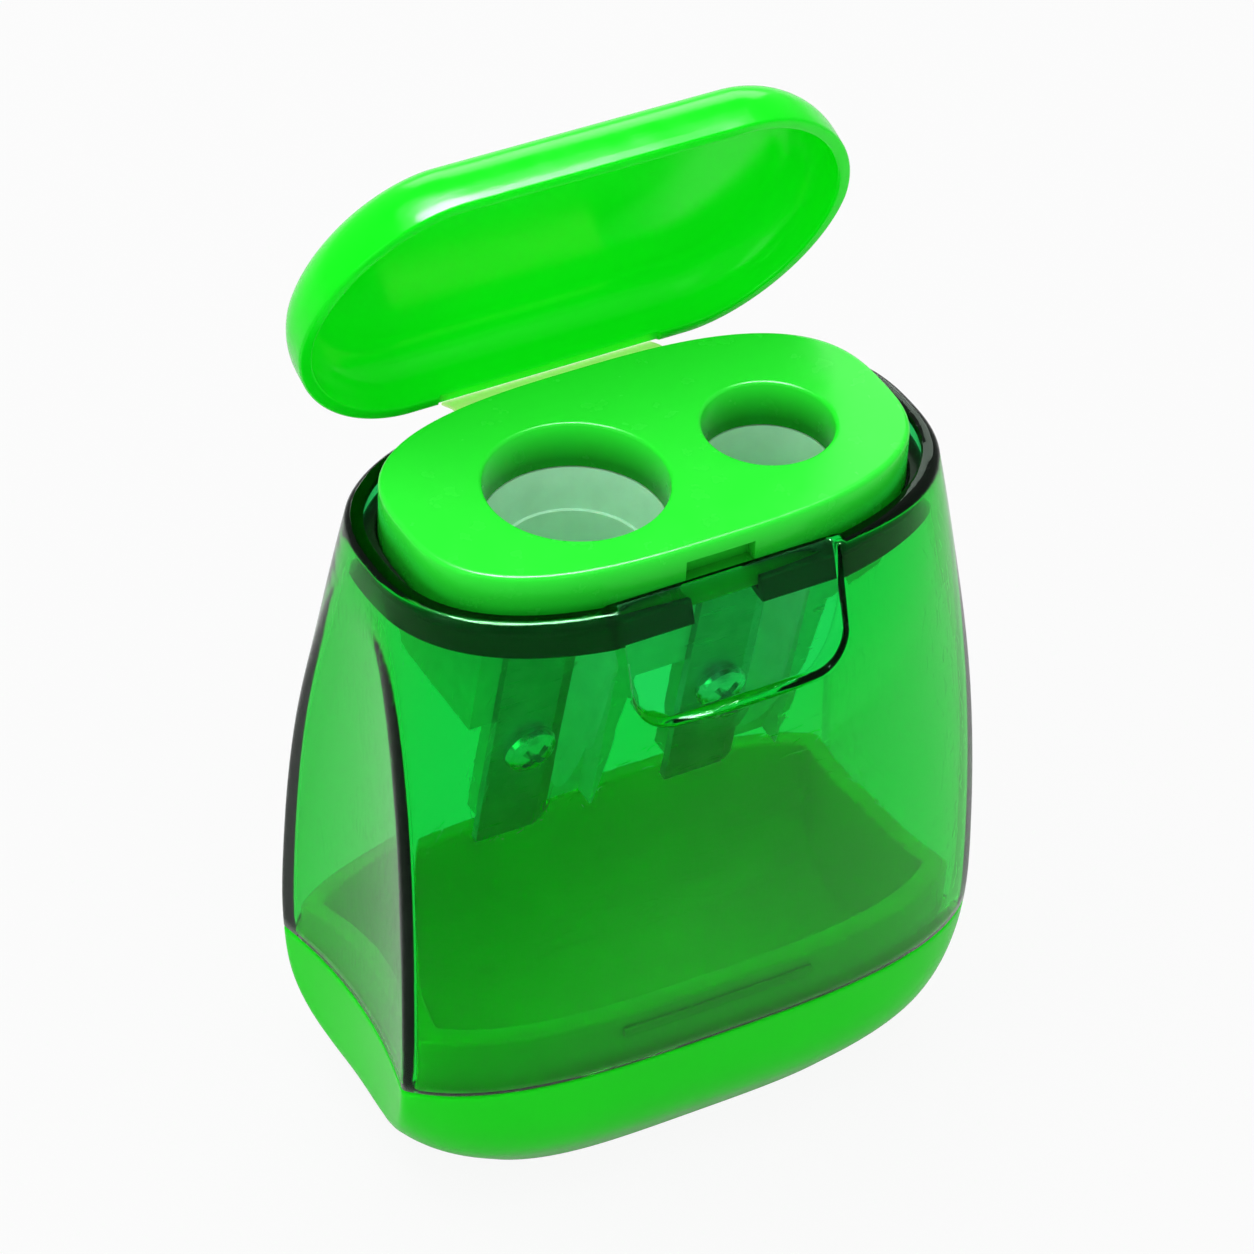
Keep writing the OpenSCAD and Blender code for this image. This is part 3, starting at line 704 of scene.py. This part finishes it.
def moulded_plastic(name, base, translucency=0.0, roughness=0.2, gloss=0.5, painted_shade=None, painted_glow=0.0):
    """Glossy injection-moulded plastic: slow colour drift, faint waviness, grain and handling scratches.

    fade is (low, high, share), a painted shade: from height high down to low the colour sinks to that share
    of itself, standing in for the shade low in gaps and holes.
    glow is the strength of a painted glow: an emission in the plastic's own colour, standing in for
    daylight that comes through.
    """
    nodes = Nodes(name)
    drift, waves = nodes.noise(0.06, 2.0), nodes.noise(0.16, 1.0)
    worn, grain = nodes.noise(0.5, 4.0), nodes.noise(9, 3.0)
    lines = scratches(nodes, (0.2, 0.35, 0.9))
    tone = nodes.mixed(nodes.ranged(drift, 0, 1), darker(base, 0.94), base)
    # Painted shade: the colour darkens from the height high down to low.
    if painted_shade:
        low, high, share = painted_shade
        height = nodes.add("ShaderNodeSeparateXYZ", Vector=nodes.place).outputs["Z"]
        tone = nodes.mixed(nodes.ranged(height, 0, 1, low, high), darker(base, share), tone)
    wavy = nodes.bump(waves, 0.06 * MM, 0.5)
    grained = nodes.bump(grain, 0.004 * MM, 0.5, wavy)
    nodes.principled(
        Base_Color=tone,
        Roughness=nodes.ranged(worn, roughness - 0.04, roughness + 0.05),
        IOR=1.5,
        Specular_IOR_Level=gloss,
        Specular_Tint=sizes().finishes.sheen_tint,
        Normal=nodes.bump(lines, 0.003 * MM, 0.6, grained),
    )
    if translucency:
        nodes.principled(
            Subsurface_Weight=translucency, Subsurface_Scale=2.2 * MM, Subsurface_Radius=(0.25, 1.0, 0.3)
        )
    # Painted light: an emission in the plastic's own colour.
    if painted_glow:
        nodes.principled(Emission_Color=base, Emission_Strength=painted_glow)
    return nodes.material


def clear_plastic(name, tint, density):
    """Clear plastic with flow waves, fine streaks and scratches; its tint deepens with the thickness."""
    nodes = Nodes(name)
    flow, fine = nodes.noise((0.12, 0.12, 0.035), 1.0), nodes.noise((0.7, 0.7, 0.12), 2.0)
    lines = scratches(nodes, (0.9, 0.2, 0.3))
    wavy = nodes.bump(flow, 0.05 * MM, 0.5)
    streaked = nodes.bump(fine, 0.006 * MM, 0.5, wavy)
    nodes.principled(
        Base_Color=(1.0, 1.0, 1.0),
        Transmission_Weight=1.0,
        IOR=1.5,
        Specular_IOR_Level=0.25,
        Specular_Tint=sizes().finishes.clear_gloss,
        Roughness=nodes.ranged(nodes.noise(0.4, 4.0), 0.0, 0.035),
        Normal=nodes.bump(lines, 0.004 * MM, 0.5, streaked),
    )
    absorption = nodes.add("ShaderNodeVolumeAbsorption", Color=tint, Density=density)
    nodes.put(nodes.output.inputs["Volume"], absorption.outputs[0])
    return nodes.material


def matt_plastic(name, base):
    """Pale filled plastic of the sharpener block: fine mottling, soft gloss and a light spark texture."""
    nodes = Nodes(name)
    mottle, grain = nodes.noise(0.5, 5.0), nodes.noise(5, 3.0)
    nodes.principled(
        Base_Color=nodes.mixed(nodes.ranged(mottle, 0, 1), darker(base, 0.9), base),
        Roughness=nodes.ranged(grain, 0.42, 0.58),
        Specular_IOR_Level=0.1,
        Normal=nodes.bump(grain, 0.012 * MM, 0.6),
        Subsurface_Weight=0.15,
        Subsurface_Scale=1.0 * MM,
    )
    return nodes.material


def ground_steel(name, base):
    """Blade steel: grinding lines across the blade, small stains and a fine polish."""
    nodes = Nodes(name)
    grinding, stains = nodes.noise((0.25, 6, 14), 3.0), nodes.noise(0.35, 4.0)
    nodes.principled(
        Base_Color=nodes.mixed(nodes.ranged(stains, 0, 1), darker(base, 0.78), base),
        Metallic=1.0,
        Roughness=nodes.ranged(grinding, 0.26, 0.42),
        Normal=nodes.bump(grinding, 0.008 * MM, 0.7),
    )
    return nodes.material


def plated_steel(name, base):
    """Screw plating: bright, lightly dimpled, duller in random patches."""
    nodes = Nodes(name)
    dimples, worn = nodes.noise(2.5, 2.0), nodes.noise(0.9, 4.0)
    nodes.principled(
        Base_Color=nodes.mixed(nodes.ranged(worn, 0, 1), darker(base, 0.8), base),
        Metallic=1.0,
        Roughness=nodes.ranged(worn, 0.16, 0.3),
        Normal=nodes.bump(dimples, 0.01 * MM, 0.5),
    )
    return nodes.material


def dress_node(frame_node, material):
    """Gives a node of the frame its material."""
    frame_node.data.materials.clear()
    frame_node.data.materials.append(material)


# ---------------------------------------------------------------- pieces


RECESS_RINGS = 30  # rings down the thumb recess, outside and inside
FIRST_RING = 1 * MM  # height above the container's lower edge where its even rings begin
LID_STEPS = 48  # points on a quarter of the lid's ring
NOTCH_EDGE = 0.08 * MM  # spacing of the points at the lid's notch
NOTCH_SHARE = 0.25  # share of the rim's rounding that is left in the notch
BEND_BEFORE, BEND_AFTER = 0.3, 0.35  # shares of the film's two stretches that its bend takes


def build_container():
    """Clear container as one closed wall: up the outside, over the rim and down the inside."""
    body, c = sizes().body, sizes().container
    low = body.seam_z + c.seam_gap
    recess_z = body.rim_z - c.recess_drop
    below = recess_z - c.recess_step
    curved = recess_z + c.recess_corner_r + c.recess_step
    inside_low = recess_z - c.recess_wall - c.recess_step
    inside_top = body.rim_z - c.inner_round
    rings = [body_ring(low, c.foot_edge), body_ring(low + c.foot_edge, 0)]
    rings += [body_ring(z, 0) for z in even(low + FIRST_RING, below, 26)]
    rings += [recess_ring(z, 0, 0) for z in even(below, curved, RECESS_RINGS)[1:]]
    rings += [recess_ring(z, 0, 0) for z in even(curved, body.rim_z - c.rim_round, 6)[1:]]
    rings += [recess_ring(body.rim_z - down, t, 0, t) for t, down in rounded(c.rim_round)[1:]]
    for t, down in reversed(rounded(c.inner_round, 4)):
        rings.append(recess_ring(body.rim_z - down, c.wall - t, c.recess_wall - t))
    for z in even(inside_top, inside_low, RECESS_RINGS)[1:]:
        rings.append(recess_ring(z, c.wall, c.recess_wall))
    rings += [body_ring(z, c.wall) for z in even(inside_low, low + c.foot_edge, 22)[1:]]
    rings += [body_ring(low, c.wall - c.foot_edge)]
    mesh = bmesh.new()
    loft(mesh, rings, looped=True)
    finish = sizes().finishes
    plastic = clear_plastic("clear_tinted_plastic", finish.tint, finish.tint_density)
    piece = finish_piece(mesh, "clear_container", plastic, 50)
    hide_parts("container")
    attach(piece, "container")


def build_collar():
    """Collar band inside the rim, with the ledge under the deck and its gap at the front."""
    body, c, d = sizes().body, sizes().container, sizes().deck
    edge = c.collar_edge
    top = body.rim_z - c.collar_drop
    low = top - c.collar_h
    ledge = low + c.ledge_h
    outer, behind = c.wall + c.collar_seat, c.recess_wall + c.collar_seat
    rings = [recess_ring(top, outer + edge, behind + edge)]
    rings += [collar_ring(top, d.skirt_fit + edge), collar_ring(top - edge, d.skirt_fit)]
    rings += [collar_ring(z, d.skirt_fit) for z in even(top - edge, ledge, 4)[1:]]
    rings += [collar_ring(ledge, -c.ledge_reach + edge), collar_ring(ledge - edge, -c.ledge_reach)]
    rings += [collar_ring(low + edge, -c.ledge_reach), collar_ring(low, -c.ledge_reach + edge)]
    rings += [recess_ring(low, outer + edge, behind + edge), recess_ring(low + edge, outer, behind)]
    rings += [recess_ring(z, outer, behind) for z in even(low + edge, top - edge, 4)[1:]]
    columns = list(zip(*rings))
    ends = [column[0] for column in columns]
    gap = [i for i, end in enumerate(ends) if end.y < 0 and abs(end.x) < c.collar_gap_w / 2]
    mesh = bmesh.new()
    close_ends(mesh, loft(mesh, columns[gap[-1] + 1:] + columns[:gap[0]]))
    # Painted shade: the band is given a near-black colour in place of the shade in the thick clear band.
    plastic = moulded_plastic("collar_green", sizes().finishes.collar, gloss=0.1)
    piece = finish_piece(mesh, "collar_band", plastic, 30)
    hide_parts("container")
    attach(piece, "container")


def lip_ring(inset, down):
    """Ring of the base's lip, down from its edge, which stands higher at the front than at the back."""
    body, c, b = sizes().body, sizes().container, sizes().base

    def height(x, y):
        share = min(1.0, max(0.0, y / (body.seam_d / 2 - c.wall)))
        return body.seam_z + b.lip_front_h - (b.lip_front_h - b.lip_back_h) * share - down

    return body_ring(body.seam_z, inset, height)


def build_base():
    """Base cup with the lip that plugs into the container, and its snap rib."""
    b, seam = sizes().base, sizes().body.seam_z
    lip = sizes().container.wall + b.lip_fit
    inside = lip + b.wall
    rings = [body_ring(down, t) for t, down in reversed(rounded(b.foot_round))]
    rings += [body_ring(z, 0) for z in even(b.foot_round, seam - b.seam_round, 22)[1:]]
    rings += [body_ring(seam - down, t) for t, down in rounded(b.seam_round, 3)[1:]]
    rings += [body_ring(seam, lip - b.lip_crease), body_ring(seam, lip, seam + b.lip_crease)]
    rings += [lip_ring(lip + t, down) for t, down in rounded(b.lip_round, 3)]
    rings += [lip_ring(inside - t, down) for t, down in reversed(rounded(b.lip_round, 3))]
    rings += [body_ring(z, inside) for z in even(seam, b.floor_t + b.floor_round, 9)]
    rings += [body_ring(b.floor_t + down, inside + t) for t, down in rounded(b.floor_round, 5)[1:]]
    mesh = bmesh.new()
    close_ends(mesh, loft(mesh, rings))
    add_rib(mesh, -body_outline(seam)[1] + lip - b.rib_proud)
    plastic = moulded_plastic("base_green", sizes().finishes.green, 0.6, gloss=0.2)
    piece = finish_piece(mesh, "base_cup_shell", plastic, 40)
    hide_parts("base_cup")
    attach(piece, "base")


def add_rib(mesh, face_y):
    """Snap rib on the front of the lip, a low bar with rounded edges whose face is at face_y."""
    b = sizes().base
    depth = b.rib_proud + b.rib_root
    middle = (0, face_y + depth / 2, sizes().body.seam_z + b.rib_z)
    corners = set(add_box(mesh, (b.rib_len, depth, b.rib_t), middle))
    edges = [edge for edge in mesh.edges if edge.verts[0] in corners]
    bmesh.ops.bevel(mesh, geom=edges, offset=b.rib_edge, segments=3, profile=0.5, affect="EDGES")


def pencil_holes():
    """(x, y, radius) of the large and the small hole."""
    d = sizes().deck
    return (
        (-d.large_x, -d.hole_front, d.large_hole_d / 2),
        (d.small_x, -d.hole_front, d.small_hole_d / 2),
    )


def build_deck():
    """Deck plate with its skirt, its two rounded holes and their collar tubes."""
    d, c = sizes().deck, sizes().container
    top = sizes().body.rim_z + d.rise
    under, tube_low = top - d.plate_t, top - d.tube_drop
    skirt_low = sizes().body.rim_z - c.collar_drop - c.collar_h + c.ledge_h
    skirt = [(d.skirt_t, under), (d.skirt_t, skirt_low + d.skirt_edge)]
    skirt += [(d.skirt_t - d.skirt_edge, skirt_low), (d.skirt_edge, skirt_low)]
    skirt += [(0, skirt_low + d.skirt_edge)]
    side = [(t, top - down) for t, down in rounded(d.edge_r, 7)] + [(d.edge_r + d.edge_flat, top)]
    mesh = bmesh.new()
    rows = loft(mesh, [deck_ring(inset, z) for inset, z in skirt + side])
    tops, unders = [rows[-1]], [rows[0]]
    for x, y, radius in pencil_holes():
        levels = [(radius + d.mouth_r + d.edge_flat, top)]
        levels += [(radius + away, top - down) for down, away in rounded(d.mouth_r, 7)]
        levels += [(radius, tube_low + d.tube_edge), (radius + d.tube_edge, tube_low)]
        levels += [(radius + d.tube_wall, tube_low), (radius + d.tube_wall, under)]
        tube = loft(mesh, [circle(x, y, r, z) for r, z in levels])
        tops.append(tube[0])
        unders.append(tube[-1])
    fill_between(mesh, tops)
    fill_between(mesh, unders)
    # Painted shade: the deck's colour darkens down its side and hole walls, in place of the shade under the
    # rim and in the holes.
    painted_shade = (top - d.painted_shade_drop, top - d.edge_r, d.painted_shade_share)
    plastic = moulded_plastic("deck_green", sizes().finishes.deck_green, 0.05, 0.24, painted_shade=painted_shade)
    piece = finish_piece(mesh, "deck_plate", plastic, 35)
    cut_notch(piece)
    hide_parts("deck")
    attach(piece, "container")


def cut_notch(piece):
    """Cuts the latch notch into the front of the deck."""
    d = sizes().deck
    top = sizes().body.rim_z + d.rise
    reach = d.notch_depth + d.notch_clear
    middle = (0, -d.depth / 2 + d.notch_depth - reach / 2, top - d.notch_drop - d.notch_h / 2)
    mesh = bmesh.new()
    add_box(mesh, (d.notch_w, reach, d.notch_h), middle)
    cutter = link_mesh(mesh, "notch")
    cut = piece.modifiers.new("notch", "BOOLEAN")
    cut.object, cut.operation, cut.solver = cutter, "DIFFERENCE", "EXACT"
    apply_modifiers(piece)
    bpy.data.objects.remove(cutter)


def lid_ring(inset, height):
    """Ring of the closed lid: straight sides with superellipse ends, set in."""
    lid = sizes().lid
    straight, end, b = lid.width / 2 - lid.end, lid.end - inset, lid.depth / 2 - inset
    notch, power = lid.film_w / 2 + lid.film_play, 2 / lid.squareness
    turns = even(0, math.pi / 2, LID_STEPS)
    points = [(straight + end * math.cos(v) ** power, b * math.sin(v) ** power) for v in turns]
    points += [(notch + NOTCH_EDGE * k, b) for k in (4, 1, -1, -4)]
    points += [(notch * share, b) for share in (0.75, 0.5, 0.25, 0)]
    return whole_ring(points, points, height)


def build_lid():
    """Lid as one closed shell, notched for the hinge film and turned open about its axis."""
    body, lid = sizes().body, sizes().lid
    low = body.rim_z + lid.gap
    top = low + lid.height
    inside_top, shoulder = top - lid.top_t, top - lid.crown
    notch = lid.film_w / 2 + lid.film_play

    def level(z):
        """Height of a rim ring, lifted where the film passes."""
        lifted = max(z, low + lid.film_notch_h + (z - low) * NOTCH_SHARE)
        return lambda x, y: lifted if y > 0 and abs(x) < notch else z

    edge = rounded(lid.lip_round, 4)
    flat = (lid.end - lid.edge_r) / 4
    rings = [lid_ring(lid.edge_r + flat * k, inside_top) for k in (3.6, 2, 1, 0.1)]
    inner = reversed(rounded(lid.edge_r - lid.wall, 8))
    rings += [lid_ring(lid.wall + t, inside_top - down) for t, down in inner]
    rings += [lid_ring(lid.wall, level(z)) for z in (low + lid.inside_ring, low + lid.lip_round)]
    rings += [lid_ring(lid.wall - t, level(low + down)) for t, down in edge[1:]]
    rings += [lid_ring(t, level(low + down)) for t, down in reversed(edge)]
    rings += [lid_ring(0, low + lid.outside_ring)]
    rings += [lid_ring(t, shoulder - down) for t, down in rounded(lid.edge_r, 14)]
    for k in (0.4, 1, 1.8, 2.6, 3.6):
        rings.append(lid_ring(lid.edge_r + flat * k, top - lid.crown * (1 - k / 4) ** 2))
    mesh = bmesh.new()
    close_ends(mesh, loft(mesh, rings))
    axis = Matrix.Translation((0, lid.axis_y, body.rim_z - lid.axis_drop))
    turn = axis @ Matrix.Rotation(-lid.open_angle, 4, "X") @ axis.inverted()
    bmesh.ops.transform(mesh, matrix=turn, verts=mesh.verts)
    plastic = moulded_plastic("lid_green", sizes().finishes.lid_green, 0.55, 0.17)
    piece = finish_piece(mesh, "lid_shell", plastic, 50)
    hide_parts("lid")
    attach(piece, "lid")


def build_film():
    """Hinge film: a thin strip from the deck over the rim to the lid's notch, bent with the lid."""
    body, lid, d = sizes().body, sizes().lid, sizes().deck
    over = body.rim_z + lid.film_gap
    axis_z = body.rim_z - lid.axis_drop
    away = body.rim_z + lid.gap + lid.film_notch_h - axis_z
    back, turn = lid.depth / 2 - lid.axis_y, lid.open_angle
    end_y = lid.axis_y + back * math.cos(turn) + away * math.sin(turn) - lid.film_gap
    end_z = axis_z - back * math.sin(turn) + away * math.cos(turn) - lid.film_t
    start, bend = Vector((0, d.depth / 2, over)), Vector((0, body.rim_d / 2 - lid.film_gap, over))
    end = Vector((0, end_y, end_z))
    near, far = bend.lerp(start, BEND_BEFORE), bend.lerp(end, BEND_AFTER)
    line = [start.lerp(bend, t) for t in even(0, 1, 4)[:-1]]
    line += [near.lerp(bend, t).lerp(bend.lerp(far, t), t) for t in even(0, 1, 8)]
    line += [far.lerp(end, t) for t in even(0, 1, 4)[1:]]
    line.append(end + (end - far).normalized() * lid.film_root)
    edge, half, thick = lid.film_edge, lid.film_w / 2, lid.film_t
    section = [(-half, edge), (-half + edge, 0), (half - edge, 0), (half, edge)]
    section += [(x, thick - up) for x, up in reversed(section)]
    mesh = bmesh.new()
    close_ends(mesh, loft(mesh, [[Vector((x, p.y, p.z + up)) for x, up in section] for p in line]))
    finish = sizes().finishes
    # Painted light: the film glows a little, standing in for daylight through it.
    plastic = moulded_plastic("film_green", finish.film_green, 1.0, 0.22, painted_glow=finish.film_painted_glow)
    piece = finish_piece(mesh, "hinge_strip", plastic, 40)
    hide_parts("hinge_film")
    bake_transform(piece)


# ---------------------------------------------------------------- stage


LAMP_AIM = Vector((0, 0, 30 * MM))  # middle of the object, which the lamps face


def build_camera():
    """Camera that looks down on the object from its front left."""
    s, d = sizes().stage, sizes().deck
    az, el = s.azimuth, s.elevation
    back = Vector((math.sin(az) * math.cos(el), -math.cos(az) * math.cos(el), math.sin(el)))
    right = Vector((0, 0, 1)).cross(back).normalized()
    up = back.cross(right)
    across = right * math.cos(s.roll) + up * math.sin(s.roll)
    upward = up * math.cos(s.roll) - right * math.sin(s.roll)
    target = Vector((0, 0, sizes().body.rim_z + d.rise))
    place = target + back * s.distance - across * s.aim_right - upward * s.aim_up
    data = bpy.data.cameras.new("camera")
    data.lens, data.sensor_width = s.lens, 36
    data.clip_start, data.clip_end = 0.01, 20
    camera = bpy.data.objects.new("camera", data)
    bpy.context.scene.collection.objects.link(camera)
    camera.matrix_world = Matrix.Translation(place) @ Matrix((across, upward, back)).transposed().to_4x4()
    bpy.context.scene.camera = camera


def build_floor():
    """White paper that reads as white and keeps the object's shadow."""
    half = sizes().stage.floor_size / 2
    mesh = bmesh.new()
    corners = ((-half, -half), (half, -half), (half, half), (-half, half))
    mesh.faces.new([mesh.verts.new((x, y, 0)) for x, y in corners])
    floor = link_mesh(mesh, "floor")
    nodes = Nodes("white_paper")
    nodes.principled(
        Base_Color=sizes().stage.floor_colour,
        Roughness=0.8,
        Specular_IOR_Level=0.1,
        Normal=nodes.bump(nodes.noise(1.5, 3.0), 0.01 * MM, 0.3),
    )
    whiten(nodes)
    floor.data.materials.append(nodes.material)


def whiten(nodes):
    """Lets the paper read as white where it is seen, and less in gloss and through the clear plastic."""
    stage = sizes().stage
    whites = {"Is Glossy Ray": stage.mirrored_white, "Is Transmission Ray": stage.through_white}
    path = nodes.add("ShaderNodeLightPath").outputs
    share = nodes.product(path["Is Camera Ray"], stage.paper_white)
    for ray, white in whites.items():
        share = nodes.add("ShaderNodeMix", Factor=path[ray], A=share, B=white).outputs["Result"]
    mix = nodes.add("ShaderNodeMixShader")
    surfaces = (share, nodes.shader.outputs[0], nodes.add("ShaderNodeEmission").outputs[0])
    for socket, content in zip(mix.inputs, surfaces):
        nodes.tree.links.new(content, socket)
    nodes.tree.links.new(mix.outputs[0], nodes.output.inputs["Surface"])


def add_soft_box(name, place, size, power):
    """Rectangular lamp that faces the middle of the object."""
    data = bpy.data.lights.new(name, "AREA")
    data.shape, data.energy = "RECTANGLE", power
    data.size, data.size_y = size
    lamp = bpy.data.objects.new(name, data)
    bpy.context.scene.collection.objects.link(lamp)
    lamp.location = place
    lamp.rotation_mode = "QUATERNION"
    lamp.rotation_quaternion = (LAMP_AIM - Vector(place)).to_track_quat("-Z", "Y")
    return lamp


def build_room():
    """Even light all around, which gloss mirrors darker."""
    s = sizes().stage
    world = bpy.data.worlds.new("room")
    world.use_nodes = True
    tree = world.node_tree
    ground = tree.nodes["Background"]
    ground.inputs["Color"].default_value = (1, 1, 1, 1)
    level = tree.nodes.new("ShaderNodeMix")
    level.inputs["A"].default_value, level.inputs["B"].default_value = s.room, s.room_gloss
    tree.links.new(tree.nodes.new("ShaderNodeLightPath").outputs["Is Glossy Ray"], level.inputs["Factor"])
    tree.links.new(level.outputs["Result"], ground.inputs["Strength"])
    bpy.context.scene.world = world


def build_lamps():
    """Soft boxes around the object, the last of which only shows in gloss."""
    s = sizes().stage
    add_soft_box("key_box", (-0.25, 0.1, 0.75), (0.5, 0.35), s.key)
    add_soft_box("side_box", (-0.7, -0.25, 0.35), (0.25, 0.5), s.side)
    add_soft_box("back_box", (0.35, 0.75, 0.45), (0.7, 0.4), s.back)
    add_soft_box("front_box", (0.1, -0.75, 0.5), (0.5, 0.4), s.front)
    glint = add_soft_box("glint_box", (0.0, 0.0, 0.8), (0.6, 0.3), s.glint)
    glint.visible_diffuse = False
    glint.visible_transmission = False


# ---------------------------------------------------------------- operators


class SHARPENER_OT_stage(bpy.types.Operator):
    """Make the camera, the floor and the lamps"""

    bl_idname = "sharpener.stage"
    bl_label = "Stage"

    def execute(self, context):
        context.scene.view_settings.view_transform = "Standard"
        build_camera()
        build_floor()
        build_room()
        build_lamps()
        return {"FINISHED"}


class SHARPENER_OT_container(bpy.types.Operator):
    """Make the clear container with its collar band"""

    bl_idname = "sharpener.container"
    bl_label = "Container"

    def execute(self, context):
        build_container()
        build_collar()
        return {"FINISHED"}


class SHARPENER_OT_base(bpy.types.Operator):
    """Make the base cup"""

    bl_idname = "sharpener.base"
    bl_label = "Base cup"

    def execute(self, context):
        build_base()
        return {"FINISHED"}


class SHARPENER_OT_deck(bpy.types.Operator):
    """Make the deck with its two holes"""

    bl_idname = "sharpener.deck"
    bl_label = "Deck"

    def execute(self, context):
        build_deck()
        return {"FINISHED"}


class SHARPENER_OT_lid(bpy.types.Operator):
    """Make the lid and its hinge film"""

    bl_idname = "sharpener.lid"
    bl_label = "Lid and hinge film"

    def execute(self, context):
        build_lid()
        build_film()
        return {"FINISHED"}


class SHARPENER_OT_insert(bpy.types.Operator):
    """Finish the sharpener block, the blades and the screws of the frame"""

    bl_idname = "sharpener.insert"
    bl_label = "Block, blades and screws"

    def execute(self, context):
        finish = sizes().finishes
        dress_node(frame["nodes"]["sharpener_block"], matt_plastic("block_plastic", finish.block))
        steel = ground_steel("blade_steel", finish.steel)
        plating = plated_steel("screw_steel", finish.plating)
        for size in ("large", "small"):
            dress_node(frame["nodes"]["blade_" + size], steel)
            dress_node(frame["nodes"]["screw_" + size], plating)
        return {"FINISHED"}


class SHARPENER_PT_panel(bpy.types.Panel):
    """Sizes, colours and building steps of the sharpener"""

    bl_label = "Pencil Sharpener"
    bl_space_type = "VIEW_3D"
    bl_region_type = "UI"
    bl_category = "Sharpener"

    def draw(self, context):
        for operator in OPERATORS:
            self.layout.operator(operator.bl_idname)
        for group in ("body", "container", "base", "deck", "lid", "finishes", "stage"):
            values = getattr(context.scene.sharpener, group)
            box = self.layout.box()
            box.label(text=group.capitalize())
            for name in values.__annotations__:
                box.prop(values, name)


class SharpenerSettings(bpy.types.PropertyGroup):
    """Everything that can be set on the sharpener."""

    body: PointerProperty(type=BodySizes, name="Body", description="Outline of the container and the base")
    container: PointerProperty(type=ContainerSizes, name="Container", description="Clear container")
    base: PointerProperty(type=BaseSizes, name="Base", description="Base cup")
    deck: PointerProperty(type=DeckSizes, name="Deck", description="Deck with its two holes")
    lid: PointerProperty(type=LidSizes, name="Lid", description="Lid and hinge film")
    finishes: PointerProperty(type=Finishes, name="Finishes", description="Colours of the materials")
    stage: PointerProperty(type=StageSettings, name="Stage", description="Camera, floor and lamps")


OPERATORS = (
    SHARPENER_OT_stage,
    SHARPENER_OT_container,
    SHARPENER_OT_base,
    SHARPENER_OT_deck,
    SHARPENER_OT_lid,
    SHARPENER_OT_insert,
)
GROUPS = (
    BodySizes,
    ContainerSizes,
    BaseSizes,
    DeckSizes,
    LidSizes,
    Finishes,
    StageSettings,
    SharpenerSettings,
)
CLASSES = GROUPS + OPERATORS + (SHARPENER_PT_panel,)


def register():
    """Registers the classes and the scene's settings."""
    for item in CLASSES:
        bpy.utils.register_class(item)
    bpy.types.Scene.sharpener = PointerProperty(type=SharpenerSettings)


def unregister():
    """Takes the settings and the classes away again."""
    del bpy.types.Scene.sharpener
    for item in reversed(CLASSES):
        bpy.utils.unregister_class(item)


def main():
    """Builds the stage and every piece."""
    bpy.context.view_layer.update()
    register()
    bpy.ops.sharpener.stage()
    bpy.ops.sharpener.container()
    bpy.ops.sharpener.base()
    bpy.ops.sharpener.deck()
    bpy.ops.sharpener.lid()
    bpy.ops.sharpener.insert()


if __name__ == "__main__":
    main()
